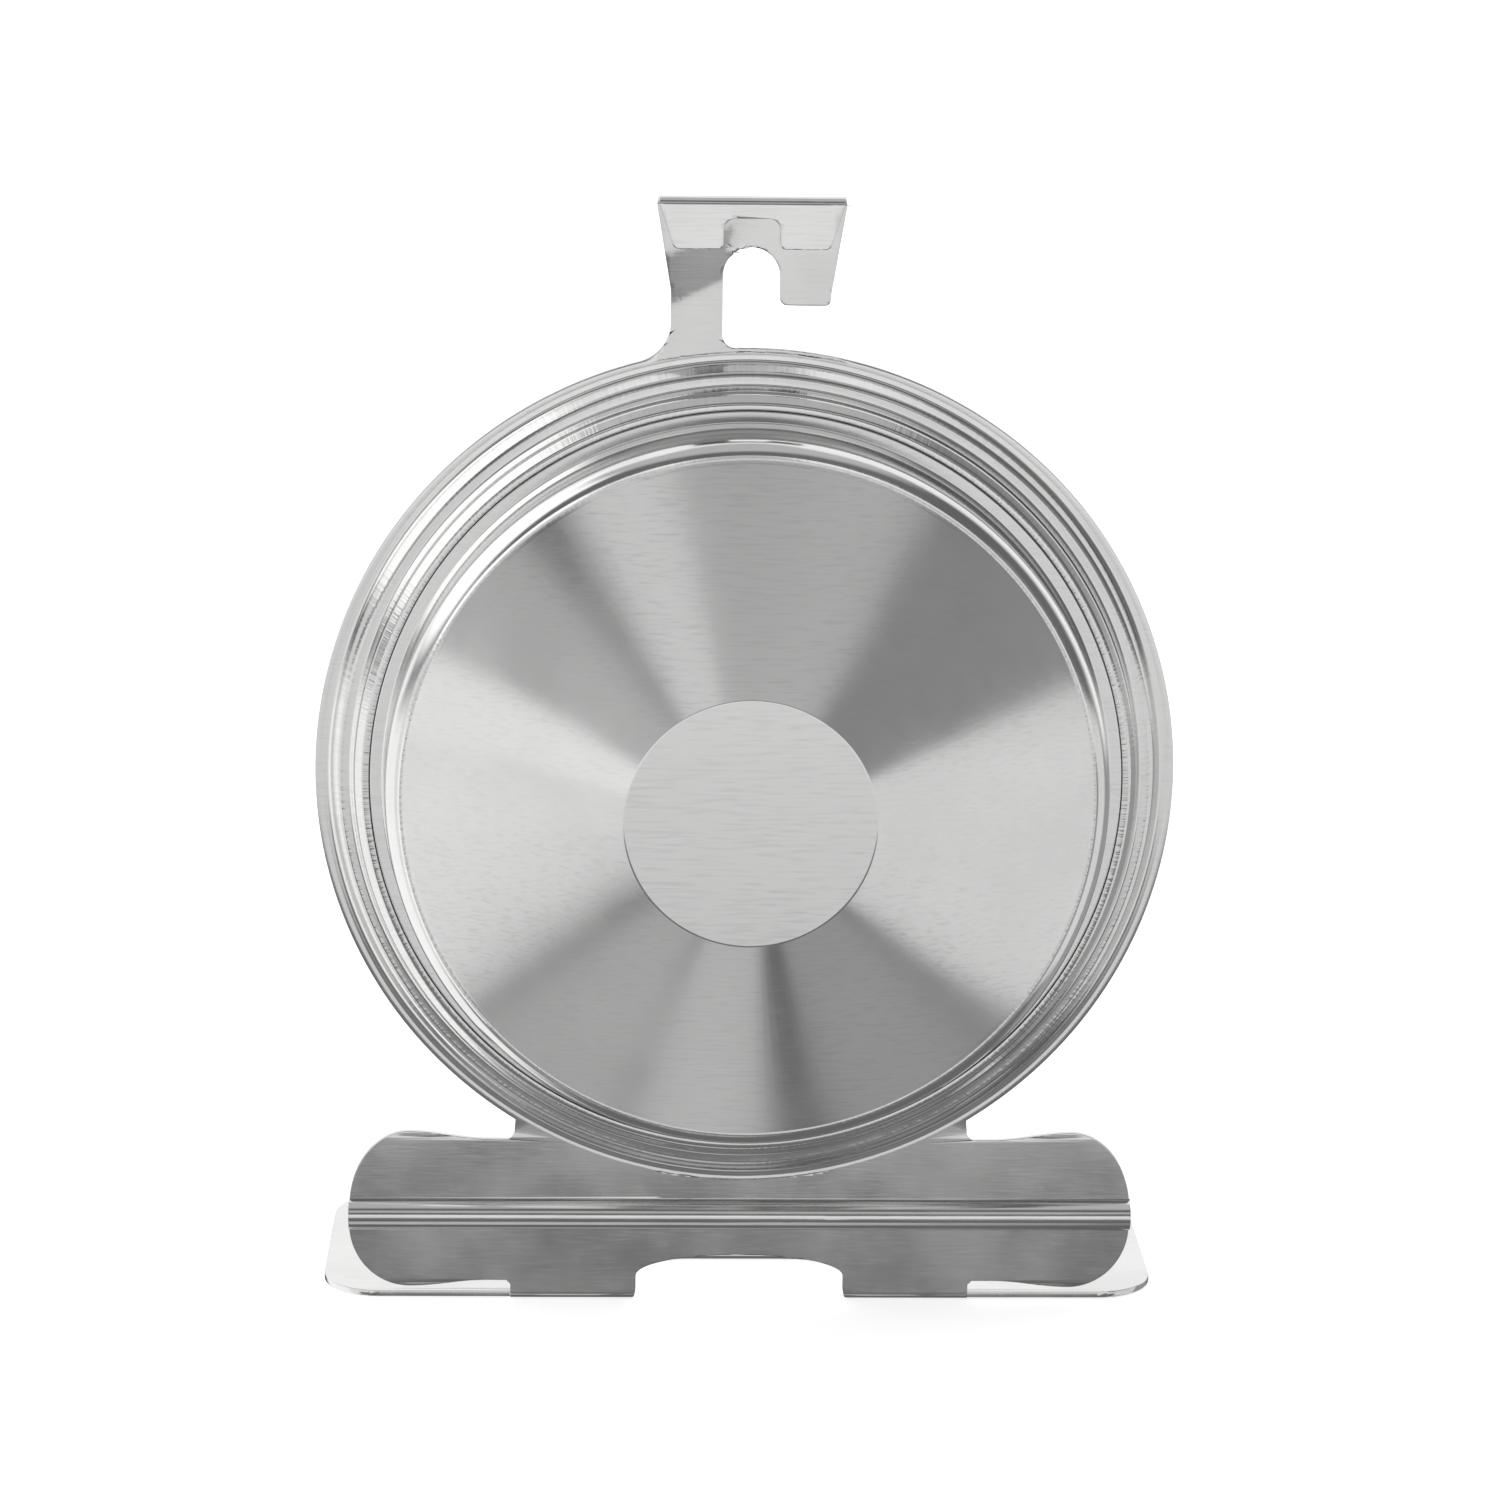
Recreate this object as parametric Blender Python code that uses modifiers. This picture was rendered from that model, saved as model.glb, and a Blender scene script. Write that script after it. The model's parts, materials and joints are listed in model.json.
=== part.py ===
"""A dial oven thermometer that stands on a folded foot or hangs from its rack hook.

The case axis runs along Y: the dial faces -Y and the drawn back cup points to +Y. The foot rests on
Z = 0. Two sets of coordinates are used below: a place on the sheet is (across, up), measured from the
centre of the dial, and a turned section is (radius, depth), where depth 0 is the back face of the flat
sheet and grows towards the back cup.
"""

import math

import bmesh
import bpy
from mathutils import Matrix

MM = 0.001

# Driving dimensions, in millimetres.
DIAL_HEIGHT = 42.05  # centre of the dial above the floor
SHEET = 0.5  # the frame plate
SHEET_Y = 4.28  # puts the object's middle at Y = 0
RING_RADIUS = 32.5
COLLAR_RADIUS = 29.45
LIP_RADIUS = 28.3
SEGMENTS = 60
INNER_SEGMENTS = 40
PIN_SEGMENTS = 16
BUSH_SEGMENTS = 24
CORNER_POINTS = 6  # on each rounded corner of an outline

HOOK_TOP = 43.8
HOOK_HALF_TOP = 7.0
HOOK_HALF_NECK = 5.93
HOOK_NECK_UP = 36.75
HOOK_TIP_UP = 35.73
HOOK_SWEEP = 3.0  # fillet between the stem and the ring, on the side away from the slot
THROAT_RADIUS = 1.0  # the same fillet inside the slot
SLOT_HALF = 2.1
SLOT_CENTRE_UP = 37.9
HEM_GAP = 0.25
STEM_SET_BACK = 0.42  # the stem's shallow bend carries the hook this much back
STEM_BEND_UP = 35.4
STEM_BEND_LENGTH = 4.4
FLAP_OPENS = 0.035
FLAP_HALF_TOP = 6.8
FLAP_HALF_END = 5.75
FLAP_END_UP = 39.95
FLAP_NOTCH_UP = 42.2

WING_HALF = 30.24
WING_LOBE_ACROSS = 25.6
STAND_NECK = (17.4, -27.45)  # where the ring's edge meets the stand
TAB_OUTER = 17.8
ARCH_HALF = 8.05
ARCH_TOP = 38.39
ARCH_RISE = 1.75
ARCH_FOOT_RADIUS = 1.5
BEAD_DOWN = 35.05
BEAD_RADIUS = 1.2
FOLD_RADIUS = 0.55
FOOT_HALF = 32.3
FOOT_DEPTH = 24.0
FOOT_NOTCH_DEPTH = 9.3
FOOT_NOTCH_HALF = 9.6

CUP_SHEET = 0.3
CUP_RIM_RADIUS = 28.75
CUP_WALL_RADIUS = 27.0
CONE_RADIUS = 25.72
CONE_DEPTH = 8.77
DISC_RADIUS = 9.2
DISC_DEPTH = 15.44

BEZEL_SHEET = 0.4
BEZEL_RADIUS = 31.3
BEZEL_SKIRT = 28.65
BEZEL_FRONT = -5.6
BEZEL_ROLL = 1.3
GLASS_RADIUS = 30.6
GLASS_FRONT = -4.85
GLASS_BACK = -2.0
RINGS_INSIDE = 26.6
DIAL_RADIUS = 27.9
DIAL_BACK = 0.2
DIAL_SHEET = 0.4

SHAFT_RADIUS = 0.75
RUNNING_FIT = 0.05
BUSH_RADIUS = 1.8
BRIDGE_DEPTH = 6.4
BRIDGE_SHEET = 0.6
BRIDGE_HALF = 14.0
BRIDGE_WIDTH = 6.0
RIVET_ACROSS = 12.0
COIL_INNER = 1.9
COIL_OUTER = 7.6
COIL_TURNS = 5
COIL_STRIP = 0.35
COIL_STEPS_PER_TURN = 28
RIVET_RADIUS = 0.75
RIVET_HOLE = 0.9
NEEDLE_DEPTH = -1.1
NEEDLE_SHEET = 0.3
NEEDLE_LENGTH = 22.0
NEEDLE_TAIL = 7.5
HUB_RADIUS = 2.6
HUB_NECK = 1.5

# Pointer angles on the dial, clockwise from the top as the dial is read.
FIRST_MARK, LAST_MARK = -135.0, 135.0
FIRST_TEMPERATURE, LAST_TEMPERATURE = 50.0, 300.0
ROOM_TEMPERATURE = 20.0
STOP_PIN_RADIUS = 18.5

PER_DEGREE_C = (LAST_MARK - FIRST_MARK) / (LAST_TEMPERATURE - FIRST_TEMPERATURE)
REST_ANGLE = FIRST_MARK + (ROOM_TEMPERATURE - FIRST_TEMPERATURE) * PER_DEGREE_C


# Frames: each takes a shape drawn in its own X and Y, or turned about its own Z, to its place.

def frame_of(x_axis, y_axis, z_axis, origin):
    rows = [[x_axis[i], y_axis[i], z_axis[i], origin[i] * MM] for i in range(3)]
    return Matrix(rows + [[0, 0, 0, 1]])


DIAL_CENTRE = (0, SHEET_Y, DIAL_HEIGHT)
TURNED = frame_of((1, 0, 0), (0, 0, -1), (0, 1, 0), DIAL_CENTRE)
# Across grows to -X, which is to the right for somebody who looks at the back.
UPRIGHT = frame_of((-1, 0, 0), (0, 0, 1), (0, 1, 0), DIAL_CENTRE)
# Across grows to +X, which is to the right for somebody who reads the dial.
FACE = frame_of((1, 0, 0), (0, 0, 1), (0, -1, 0), DIAL_CENTRE)


# Scene, collections and materials

def clear_scene():
    for item in list(bpy.data.objects):
        bpy.data.objects.remove(item, do_unlink=True)


def collection(name):
    made = bpy.data.collections.new(name)
    bpy.context.scene.collection.children.link(made)
    return made


clear_scene()
PARTS = collection("oven_thermometer")
HELPERS = collection("joined_shapes")


def material(name, colour, roughness, metallic=1.0, alpha=1.0):
    made = bpy.data.materials.new(name)
    made.use_nodes = True
    shader = made.node_tree.nodes["Principled BSDF"]
    shader.inputs["Base Color"].default_value = (*colour, 1.0)
    shader.inputs["Roughness"].default_value = roughness
    shader.inputs["Metallic"].default_value = metallic
    shader.inputs["Alpha"].default_value = alpha
    return made


STEEL = material("brushed_sheet_steel", (0.56, 0.56, 0.55), 0.32)
CUP_STEEL = material("drawn_cup_steel", (0.62, 0.62, 0.61), 0.28)
BEZEL_STEEL = material("bezel_steel", (0.66, 0.66, 0.65), 0.15)
GLASS = material("lens_glass", (0.9, 0.95, 0.95), 0.05, 0.0, 0.3)
DARK_STEEL = material("dark_spring_steel", (0.25, 0.25, 0.26), 0.4)
BRASS = material("bush_brass", (0.75, 0.58, 0.28), 0.3)
DIAL_PAINT = material("dial_white_paint", (0.85, 0.85, 0.83), 0.5, 0.0)
NEEDLE_PAINT = material("needle_red_paint", (0.6, 0.05, 0.04), 0.4, 0.0)
ALUMINIUM = material("spacer_aluminium", (0.8, 0.8, 0.8), 0.4)


# Drawing helpers: lists of points in millimetres

def arc(centre, radius, start, end, steps):
    """Points along an arc, with both ends, from one angle in degrees to another."""
    points = []
    for i in range(steps + 1):
        angle = math.radians(start + (end - start) * i / steps)
        points.append((centre[0] + radius * math.cos(angle), centre[1] + radius * math.sin(angle)))
    return points


def oval(centre, half_wide, half_high, start, end, steps):
    """Points along part of an ellipse."""
    return [
        (centre[0] + half_wide * x, centre[1] + half_high * y)
        for x, y in arc((0, 0), 1, start, end, steps)
    ]


def ease(start, end, steps):
    """Points of a soft S between two points that are level at both ends, without the ends."""
    points = []
    for i in range(1, steps):
        part = i / steps
        rise = (1 - math.cos(math.pi * part)) / 2
        points.append((start[0] + (end[0] - start[0]) * part, start[1] + (end[1] - start[1]) * rise))
    return points


def rounded(corners):
    """A closed outline from (x, y, corner radius)."""
    points = []
    for i, (x, y, radius) in enumerate(corners):
        if not radius:
            points.append((x, y))
            continue
        before = corners[i - 1]
        after = corners[(i + 1) % len(corners)]
        to_before = math.atan2(before[1] - y, before[0] - x)
        to_after = math.atan2(after[1] - y, after[0] - x)
        turn = (to_after - to_before + math.pi) % (2 * math.pi) - math.pi
        middle = to_before + turn / 2
        reach = radius / abs(math.sin(turn / 2))
        centre = (x + reach * math.cos(middle), y + reach * math.sin(middle))
        sweep = math.degrees(math.pi - abs(turn))
        facing = math.degrees(middle) + 180
        side = math.copysign(sweep / 2, turn)
        points += arc(centre, radius, facing + side, facing - side, CORNER_POINTS - 1)
    return points


def mirrored(points):
    """The points, then their mirror images in the other direction."""
    return points + [(-x, y) for x, y in reversed(points)]


def offset_line(line, distance):
    """A copy of an open line, set off to its right by the distance, with its corners mitred."""
    offset = []
    for i, (x, y) in enumerate(line):
        ahead = line[min(i + 1, len(line) - 1)]
        behind = line[max(i - 1, 0)]
        runs = [(x - behind[0], y - behind[1]), (ahead[0] - x, ahead[1] - y)]
        normals = [(dy / math.hypot(dx, dy), -dx / math.hypot(dx, dy)) for dx, dy in runs if dx or dy]
        across = [sum(normal[k] for normal in normals) for k in (0, 1)]
        length = math.hypot(*across)
        across = [value / length for value in across]
        stretch = distance / (across[0] * normals[0][0] + across[1] * normals[0][1])
        offset.append((x + across[0] * stretch, y + across[1] * stretch))
    return offset


def sheet_section(line, thickness):
    """A closed section: the line, then a copy of it set off to its right by the thickness."""
    return line + offset_line(line, thickness)[::-1]


# Solids

def add_object(name, mesh, look, group):
    item = bpy.data.objects.new(name, mesh)
    item.data.materials.append(look)
    group.objects.link(item)
    if group is HELPERS:
        item.hide_render = True
        item.display_type = "WIRE"
    return item


def turned(name, section, look, group=PARTS, frame=TURNED, segments=SEGMENTS):
    """Turns a closed (radius, depth) section about the case axis."""
    area = sum(a[0] * b[1] - b[0] * a[1] for a, b in zip(section, section[1:] + section[:1]))
    if area > 0:
        section = section[::-1]
    count = len(section)
    edges = [(i, (i + 1) % count) for i in range(count)]
    edges = [(i, j) for i, j in edges if section[i][0] > 0 or section[j][0] > 0]
    mesh = bpy.data.meshes.new(name)
    mesh.from_pydata([(r * MM, 0, z * MM) for r, z in section], edges, [])
    item = add_object(name, mesh, look, group)
    item.matrix_world = frame
    spin = item.modifiers.new("turn", "SCREW")
    spin.axis = "Z"
    spin.steps = segments
    spin.render_steps = segments
    spin.use_merge_vertices = True
    spin.merge_threshold = 0.000001
    spin.use_smooth_shade = True
    return item


def flat_sheet(outlines, thickness=0.0):
    """A mesh of the flat shape inside the first outline and outside the others."""
    drawing = bpy.data.curves.new("drawing", "CURVE")
    drawing.dimensions = "2D"
    drawing.fill_mode = "BOTH"
    drawing.extrude = thickness * MM / 2
    for outline in outlines:
        spline = drawing.splines.new("POLY")
        spline.points.add(len(outline) - 1)
        spline.use_cyclic_u = True
        for point, (x, y) in zip(spline.points, outline):
            point.co = (x * MM, y * MM, 0, 1)
    guide = bpy.data.objects.new("guide", drawing)
    bpy.context.scene.collection.objects.link(guide)
    bpy.context.view_layer.update()
    filled = guide.evaluated_get(bpy.context.evaluated_depsgraph_get())
    mesh = bpy.data.meshes.new_from_object(filled)
    bpy.data.objects.remove(guide)
    weld_and_face_out(mesh)
    return mesh


def plate(name, outlines, thickness, look, frame, middle=0.0):
    """Cuts a flat plate to its closed outlines; the second and later ones are holes."""
    mesh = flat_sheet(outlines, thickness)
    mesh.name = name
    item = add_object(name, mesh, look, PARTS)
    item.matrix_world = frame @ Matrix.Translation((0, 0, middle * MM))
    return item


def weld_and_face_out(mesh):
    shape = bmesh.new()
    shape.from_mesh(mesh)
    bmesh.ops.remove_doubles(shape, verts=shape.verts, dist=0.000001)
    bmesh.ops.recalc_face_normals(shape, faces=shape.faces)
    shape.to_mesh(mesh)
    shape.free()


def cut(item, others):
    for other in others:
        step = item.modifiers.new("cut_" + other.name, "BOOLEAN")
        step.operation = "DIFFERENCE"
        step.solver = "EXACT"
        step.object = other


def ring_section(inner, outer, back, front):
    return [(inner, front), (outer, front), (outer, back), (inner, back)]


def disc_section(outer, back, front, edge):
    return [
        (0, back),
        (outer - edge, back),
        (outer, back - edge),
        (outer, front + edge),
        (outer - edge, front),
        (0, front),
    ]


# The frame plate: one sheet, stamped, crimped and folded. It is drawn flat, as the blank, and then
# each of its points is carried to its place on the folded sheet. Lengths are those of the middle of
# the sheet, so a fold uses up its radius times its angle.

HEM_RADIUS = (HEM_GAP + SHEET) / 2
HEM_UP = HOOK_TOP - HEM_GAP / 2 - SHEET
FOLD_MIDDLE = FOLD_RADIUS - SHEET / 2
FOLD_UP = FOLD_RADIUS - DIAL_HEIGHT
BEAD_MIDDLE = BEAD_RADIUS - SHEET / 2


def on_flap(up):
    """Where a height on the folded flap lies on the blank."""
    return 2 * HEM_UP + math.pi * HEM_RADIUS - up


def on_foot(depth):
    """Where a distance in front of the sheet's back face lies on the blank, for the foot."""
    return FOLD_UP - math.pi / 2 * FOLD_MIDDLE - (depth - FOLD_RADIUS)


def stem_bend(up):
    """How far back the stem's shallow bend has carried the sheet at this height."""
    share = (up - STEM_BEND_UP) / STEM_BEND_LENGTH
    return STEM_SET_BACK * min(max(share, 0.0), 1.0)


def folded(across, up):
    """The place of a point of the blank on the folded sheet, as (across, up, depth)."""
    middle = stem_bend(up) - SHEET / 2
    if up > HEM_UP:
        past = up - HEM_UP
        turn = min(past / HEM_RADIUS, math.pi)
        straight = past - turn * HEM_RADIUS
        height = HEM_UP + HEM_RADIUS * math.sin(turn) - straight
        return across, height, middle + HEM_RADIUS * (1 - math.cos(turn)) + straight * FLAP_OPENS
    if up < FOLD_UP:
        past = FOLD_UP - up
        turn = min(past / FOLD_MIDDLE, math.pi / 2)
        straight = past - turn * FOLD_MIDDLE
        height = FOLD_UP - FOLD_MIDDLE * math.sin(turn)
        return across, height, middle - FOLD_MIDDLE * (1 - math.cos(turn)) - straight
    off_bead = abs(up + BEAD_DOWN)
    if off_bead < BEAD_MIDDLE:
        return across, up, math.sqrt(BEAD_MIDDLE**2 - off_bead**2)
    return across, up, middle


def fold_lines():
    """Heights on the blank where the sheet needs a crease so that it can follow a fold or the bead."""
    hem = [HEM_UP + HEM_RADIUS * math.radians(turn) for turn in range(0, 181, 20)]
    fold = [FOLD_UP - FOLD_MIDDLE * math.radians(turn) for turn in range(0, 91, 15)]
    stem = [STEM_BEND_UP, STEM_BEND_UP + STEM_BEND_LENGTH]
    bead = [BEAD_MIDDLE * math.cos(math.radians(turn)) for turn in range(5, 176, 17)]
    bead += [side * (BEAD_MIDDLE + 0.05) for side in (-1, 1)]
    return hem + fold + stem + [height - BEAD_DOWN for height in bead]


def stem_fillet(edge, radius, side):
    """A fillet between a stem edge and the ring: its centre, and the angle where it meets the ring."""
    x = edge + side * radius
    y = math.sqrt((RING_RADIUS + radius) ** 2 - x**2)
    return (x, y), math.degrees(math.atan2(-y, -x))


def hook_outline():
    """From the ring up the slot, round the tip, over the hem and flap, and down the stem to the ring."""
    throat, throat_meets = stem_fillet(-SLOT_HALF, THROAT_RADIUS, 1)
    sweep, sweep_meets = stem_fillet(-HOOK_HALF_NECK, HOOK_SWEEP, -1)
    slot = arc(throat, THROAT_RADIUS, throat_meets, -180, 5)
    slot += arc((0, SLOT_CENTRE_UP), SLOT_HALF, 180, 0, 14)
    tip_edge = HOOK_HALF_NECK - 0.1
    above = SLOT_CENTRE_UP + SLOT_HALF
    tip_corners = [(SLOT_HALF, HOOK_TIP_UP, 0.6), (tip_edge, HOOK_TIP_UP, 0.4)]
    tip = rounded(tip_corners + [(tip_edge, above, 0), (SLOT_HALF, above, 0)])
    neck = [(HOOK_HALF_NECK, HOOK_NECK_UP), (HOOK_HALF_TOP, HEM_UP)]
    flap_end, notch_up = on_flap(FLAP_END_UP), on_flap(FLAP_NOTCH_UP)
    flap = rounded(
        [
            (FLAP_HALF_TOP, on_flap(HEM_UP), 0),
            (FLAP_HALF_END, flap_end, 0.5),
            (SLOT_HALF, flap_end, 0.4),
            (SLOT_HALF, notch_up, 0.9),
            (-SLOT_HALF, notch_up, 0.9),
            (-SLOT_HALF, flap_end, 0.4),
            (-FLAP_HALF_END, flap_end, 0.5),
            (-FLAP_HALF_TOP, on_flap(HEM_UP), 0),
        ]
    )
    stem = [(-HOOK_HALF_TOP, HEM_UP), (-HOOK_HALF_NECK, HOOK_NECK_UP)]
    return slot + tip[: 2 * CORNER_POINTS] + neck + flap + stem + arc(sweep, HOOK_SWEEP, 0, sweep_meets, 8)


def stand_half():
    """Right half of the stand and foot on the blank, from the ring to the middle of the foot's notch."""
    lobe_top, lobe_end = -34.6, -36.0
    lobe_wide = WING_HALF - WING_LOBE_ACROSS
    upper_crest, upper_dip = -28.4, -29.0
    lower_crest, lower_dip = -41.0, -40.52
    slit = on_foot(FOLD_RADIUS)
    notch = arc((18.05, -28.4), 0.6, 170, 270, 4)
    upper = ease((19.5, upper_dip), (WING_LOBE_ACROSS, upper_crest), 6)
    upper += oval((WING_LOBE_ACROSS, lobe_top), lobe_wide, upper_crest - lobe_top, 90, 0, 10)
    lower = oval((WING_LOBE_ACROSS, lobe_end), lobe_wide, lobe_end - lower_crest, 0, -90, 10)
    lower += ease((WING_LOBE_ACROSS, lower_crest), (19.6, lower_dip), 6)
    relief = [(19.6, lower_dip), (TAB_OUTER + 0.3, lower_dip), (TAB_OUTER, lower_dip - 0.3)]
    relief.append((TAB_OUTER, slit))
    foot_end = on_foot(FOOT_DEPTH)
    foot = rounded([(FOOT_HALF, slit, 4.5), (FOOT_HALF, foot_end, 5.0), (0, foot_end, 0), (0, slit, 0)])
    return notch + [(19.5, upper_dip)] + upper + lower + relief + foot[: 2 * CORNER_POINTS]


def arch_outline():
    """The cut-out that makes the arch in the stand and the notch in the foot."""
    spring = -ARCH_TOP - ARCH_RISE
    half = oval((0, spring), ARCH_HALF, ARCH_RISE, 90, 0, 8)
    half += arc((ARCH_HALF + ARCH_FOOT_RADIUS, FOLD_UP + 0.35), ARCH_FOOT_RADIUS, 180, 265, 5)
    notch_end = on_foot(FOOT_NOTCH_DEPTH)
    half += rounded(
        [(FOOT_NOTCH_HALF, notch_end, 5.5), (0, notch_end, 0), (0, spring, 0), (FOOT_NOTCH_HALF, spring, 0)]
    )[:CORNER_POINTS]
    return mirrored(half)[:-1]


def blank_outline():
    hook = hook_outline()
    stand = stand_half()
    hook_right, hook_left = (math.degrees(math.atan2(y, x)) for x, y in (hook[0], hook[-1]))
    stand_right = math.degrees(math.atan2(STAND_NECK[1], STAND_NECK[0]))
    left_side = arc((0, 0), RING_RADIUS, hook_left, 180 - stand_right, 26)[1:]
    right_side = arc((0, 0), RING_RADIUS, stand_right, hook_right, 30)[:-1]
    whole_stand = [(-x, y) for x, y in stand] + stand[::-1]
    return hook + left_side + whole_stand + right_side


def collar_line():
    """Middle of the sheet through the step, ledge, wall and crimped lip, from the flat flange inward."""
    back_face = [
        (RING_RADIUS, 0),
        (31.45, 0),
        (30.75, 0.95),
        (30.5, 1.05),
        (29.9, 1.05),
        (29.62, 1.15),
        (COLLAR_RADIUS, 1.5),
        (COLLAR_RADIUS - 0.05, 2.2),
        (29.2, 2.65),
        (28.8, 2.9),
        (LIP_RADIUS, 2.95),
    ]
    return offset_line(back_face, -SHEET / 2)[1:]


def build_frame_plate():
    line = collar_line()
    hole = arc((0, 0), line[0][0], 0, 360 - 360 / SEGMENTS, SEGMENTS - 1)
    shape = bmesh.new()
    shape.from_mesh(flat_sheet([blank_outline(), hole, arch_outline()]))
    for up in fold_lines():
        everything = shape.verts[:] + shape.edges[:] + shape.faces[:]
        height = (0, up * MM, 0)
        bmesh.ops.bisect_plane(shape, geom=everything, plane_co=height, plane_no=(0, 1, 0), dist=0.000001)
    for vertex in shape.verts:
        vertex.co = [value * MM for value in folded(vertex.co.x / MM, vertex.co.y / MM)]
    spun = [shape.verts.new((radius * MM, 0, depth * MM)) for radius, depth in line]
    spun += [shape.edges.new(pair) for pair in zip(spun, spun[1:])]
    bmesh.ops.spin(shape, geom=spun, cent=(0, 0, 0), axis=(0, 0, 1), angle=2 * math.pi, steps=SEGMENTS)
    bmesh.ops.remove_doubles(shape, verts=shape.verts, dist=0.000002)
    bmesh.ops.recalc_face_normals(shape, faces=shape.faces)
    mesh = bpy.data.meshes.new("frame_plate")
    shape.to_mesh(mesh)
    shape.free()
    item = add_object("frame_plate", mesh, STEEL, PARTS)
    item.matrix_world = UPRIGHT
    wall = item.modifiers.new("sheet", "SOLIDIFY")
    wall.thickness = SHEET * MM
    wall.offset = 0
    wall.use_even_offset = True
    mesh.shade_smooth()
    mesh.set_sharp_from_angle(angle=math.radians(30))


# The case

def build_back_cup():
    """Rim, wall, shoulder, cone and disc of the drawn cup."""
    outside = (
        [(CUP_RIM_RADIUS, 2.2), (28.15, 2.2), (28.1, 2.9), (27.4, 2.9), (27.1, 3.0), (CUP_WALL_RADIUS, 3.3)]
        + [(CUP_WALL_RADIUS - 0.05, 6.9)]
        + arc((25.25, 6.95), 1.7, 15, 70, 4)
        + [(CONE_RADIUS - 0.25, CONE_DEPTH + 0.12), (DISC_RADIUS + 0.3, DISC_DEPTH - 0.1)]
        + [(DISC_RADIUS, DISC_DEPTH), (0, DISC_DEPTH)]
    )
    turned("back_cup", sheet_section(outside[::-1], CUP_SHEET), CUP_STEEL)


def build_front_bezel():
    """Skirt inside the collar, a step, an outer wall and the lip rolled over the glass."""
    shoulder = arc((BEZEL_RADIUS - BEZEL_ROLL, BEZEL_FRONT + BEZEL_ROLL), BEZEL_ROLL, 0, -90, 4)
    outside = (
        [(BEZEL_SKIRT, 1.5), (BEZEL_SKIRT, -0.8), (BEZEL_RADIUS - 0.3, -0.8), (BEZEL_RADIUS, -1.1)]
        + shoulder
        + [(28.6, BEZEL_FRONT + 0.1), (27.9, BEZEL_FRONT + 0.25)]
    )
    turned("front_bezel", sheet_section(outside, BEZEL_SHEET), BEZEL_STEEL)


def build_lens_and_rings():
    turned("glass_lens", disc_section(GLASS_RADIUS, GLASS_BACK, GLASS_FRONT, 0.25), GLASS)
    stepped = [
        (RINGS_INSIDE, -0.45),
        (RINGS_INSIDE, -1.85),
        (30.5, -1.85),
        (30.5, -1.35),
        (28.0, -1.35),
        (28.0, -0.45),
    ]
    turned("lens_spacer_ring", stepped, ALUMINIUM)
    support = ring_section(RINGS_INSIDE, DIAL_RADIUS, 1.6, 0.45)
    turned("dial_support_ring", support, ALUMINIUM, segments=INNER_SEGMENTS)


# The movement

def circle(centre, radius, steps=PIN_SEGMENTS):
    return arc(centre, radius, 0, 360 - 360 / steps, steps - 1)


def build_dial():
    holes = [circle((side * RIVET_ACROSS, 0), RIVET_HOLE) for side in (-1, 1)]
    holes += [circle(POST_PLACE, RIVET_HOLE), circle((0, -STOP_PIN_RADIUS), 0.6)]
    holes.append(circle((0, 0), BUSH_RADIUS + 0.1, BUSH_SEGMENTS))
    middle = DIAL_SHEET / 2 - DIAL_BACK
    plate("dial_plate", [circle((0, 0), DIAL_RADIUS, SEGMENTS)] + holes, DIAL_SHEET, DIAL_PAINT, FACE, middle)


def turned_at(place):
    """The frame of a piece turned about an axis beside the case axis, at (across to +X, up)."""
    return frame_of((1, 0, 0), (0, 0, -1), (0, 1, 0), (place[0], SHEET_Y, DIAL_HEIGHT + place[1]))


def round_bar(name, radius, place, front, back, group=PARTS, segments=PIN_SEGMENTS):
    """A plain round bar along the case axis."""
    section = disc_section(radius, back, front, 0.05)
    return turned(name, section, DARK_STEEL, group, turned_at(place), segments)


def headed_bar(name, radius, head_radius, place, steps, look):
    """A rivet or pin: steps are the depths of head front, head back, shank end."""
    head_front, head_back, end = steps
    section = [
        (0, head_front),
        (head_radius - 0.2, head_front),
        (head_radius, head_front + 0.2),
        (head_radius, head_back),
        (radius, head_back),
        (radius, end),
        (0, end),
    ]
    return turned(name, section, look, PARTS, turned_at(place), PIN_SEGMENTS)


# The coil ends at the top, beside the post.
POST_PLACE = (0.0, COIL_OUTER + 1.4)
COIL_FRONT, COIL_BACK = 1.6, 4.4
DIAL_FRONT = DIAL_BACK - DIAL_SHEET
RIVET_HEAD = (DIAL_FRONT - 0.6, DIAL_FRONT - 0.1)


def bridge_outline():
    """The strap seen from above, as (across, depth): two feet, two legs and the span."""
    foot_top, leg, span = DIAL_BACK + 0.3 + BRIDGE_SHEET, RIVET_ACROSS - 2.2, BRIDGE_DEPTH
    line = [(-BRIDGE_HALF, foot_top), (-leg, foot_top), (-leg + 1.2, span)]
    return sheet_section(line + [(-x, depth) for x, depth in reversed(line)], BRIDGE_SHEET)


def build_bridge():
    across = frame_of((1, 0, 0), (0, 1, 0), (0, 0, 1), DIAL_CENTRE)
    strap = plate("rear_bridge", [bridge_outline()], BRIDGE_WIDTH, DARK_STEEL, across)
    rivets = [(side * RIVET_ACROSS, 0) for side in (-1, 1)]
    holes = [round_bar("bridge_hole", RIVET_HOLE, place, -1, 3, HELPERS) for place in rivets]
    holes.append(round_bar("bush_seat", BUSH_RADIUS - 0.4, (0, 0), 4, 8, HELPERS))
    cut(strap, holes)
    for name, place in zip(("bridge_rivet_left", "bridge_rivet_right"), rivets):
        headed_bar(name, RIVET_RADIUS, 1.4, place, (*RIVET_HEAD, 1.7), ALUMINIUM)


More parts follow.
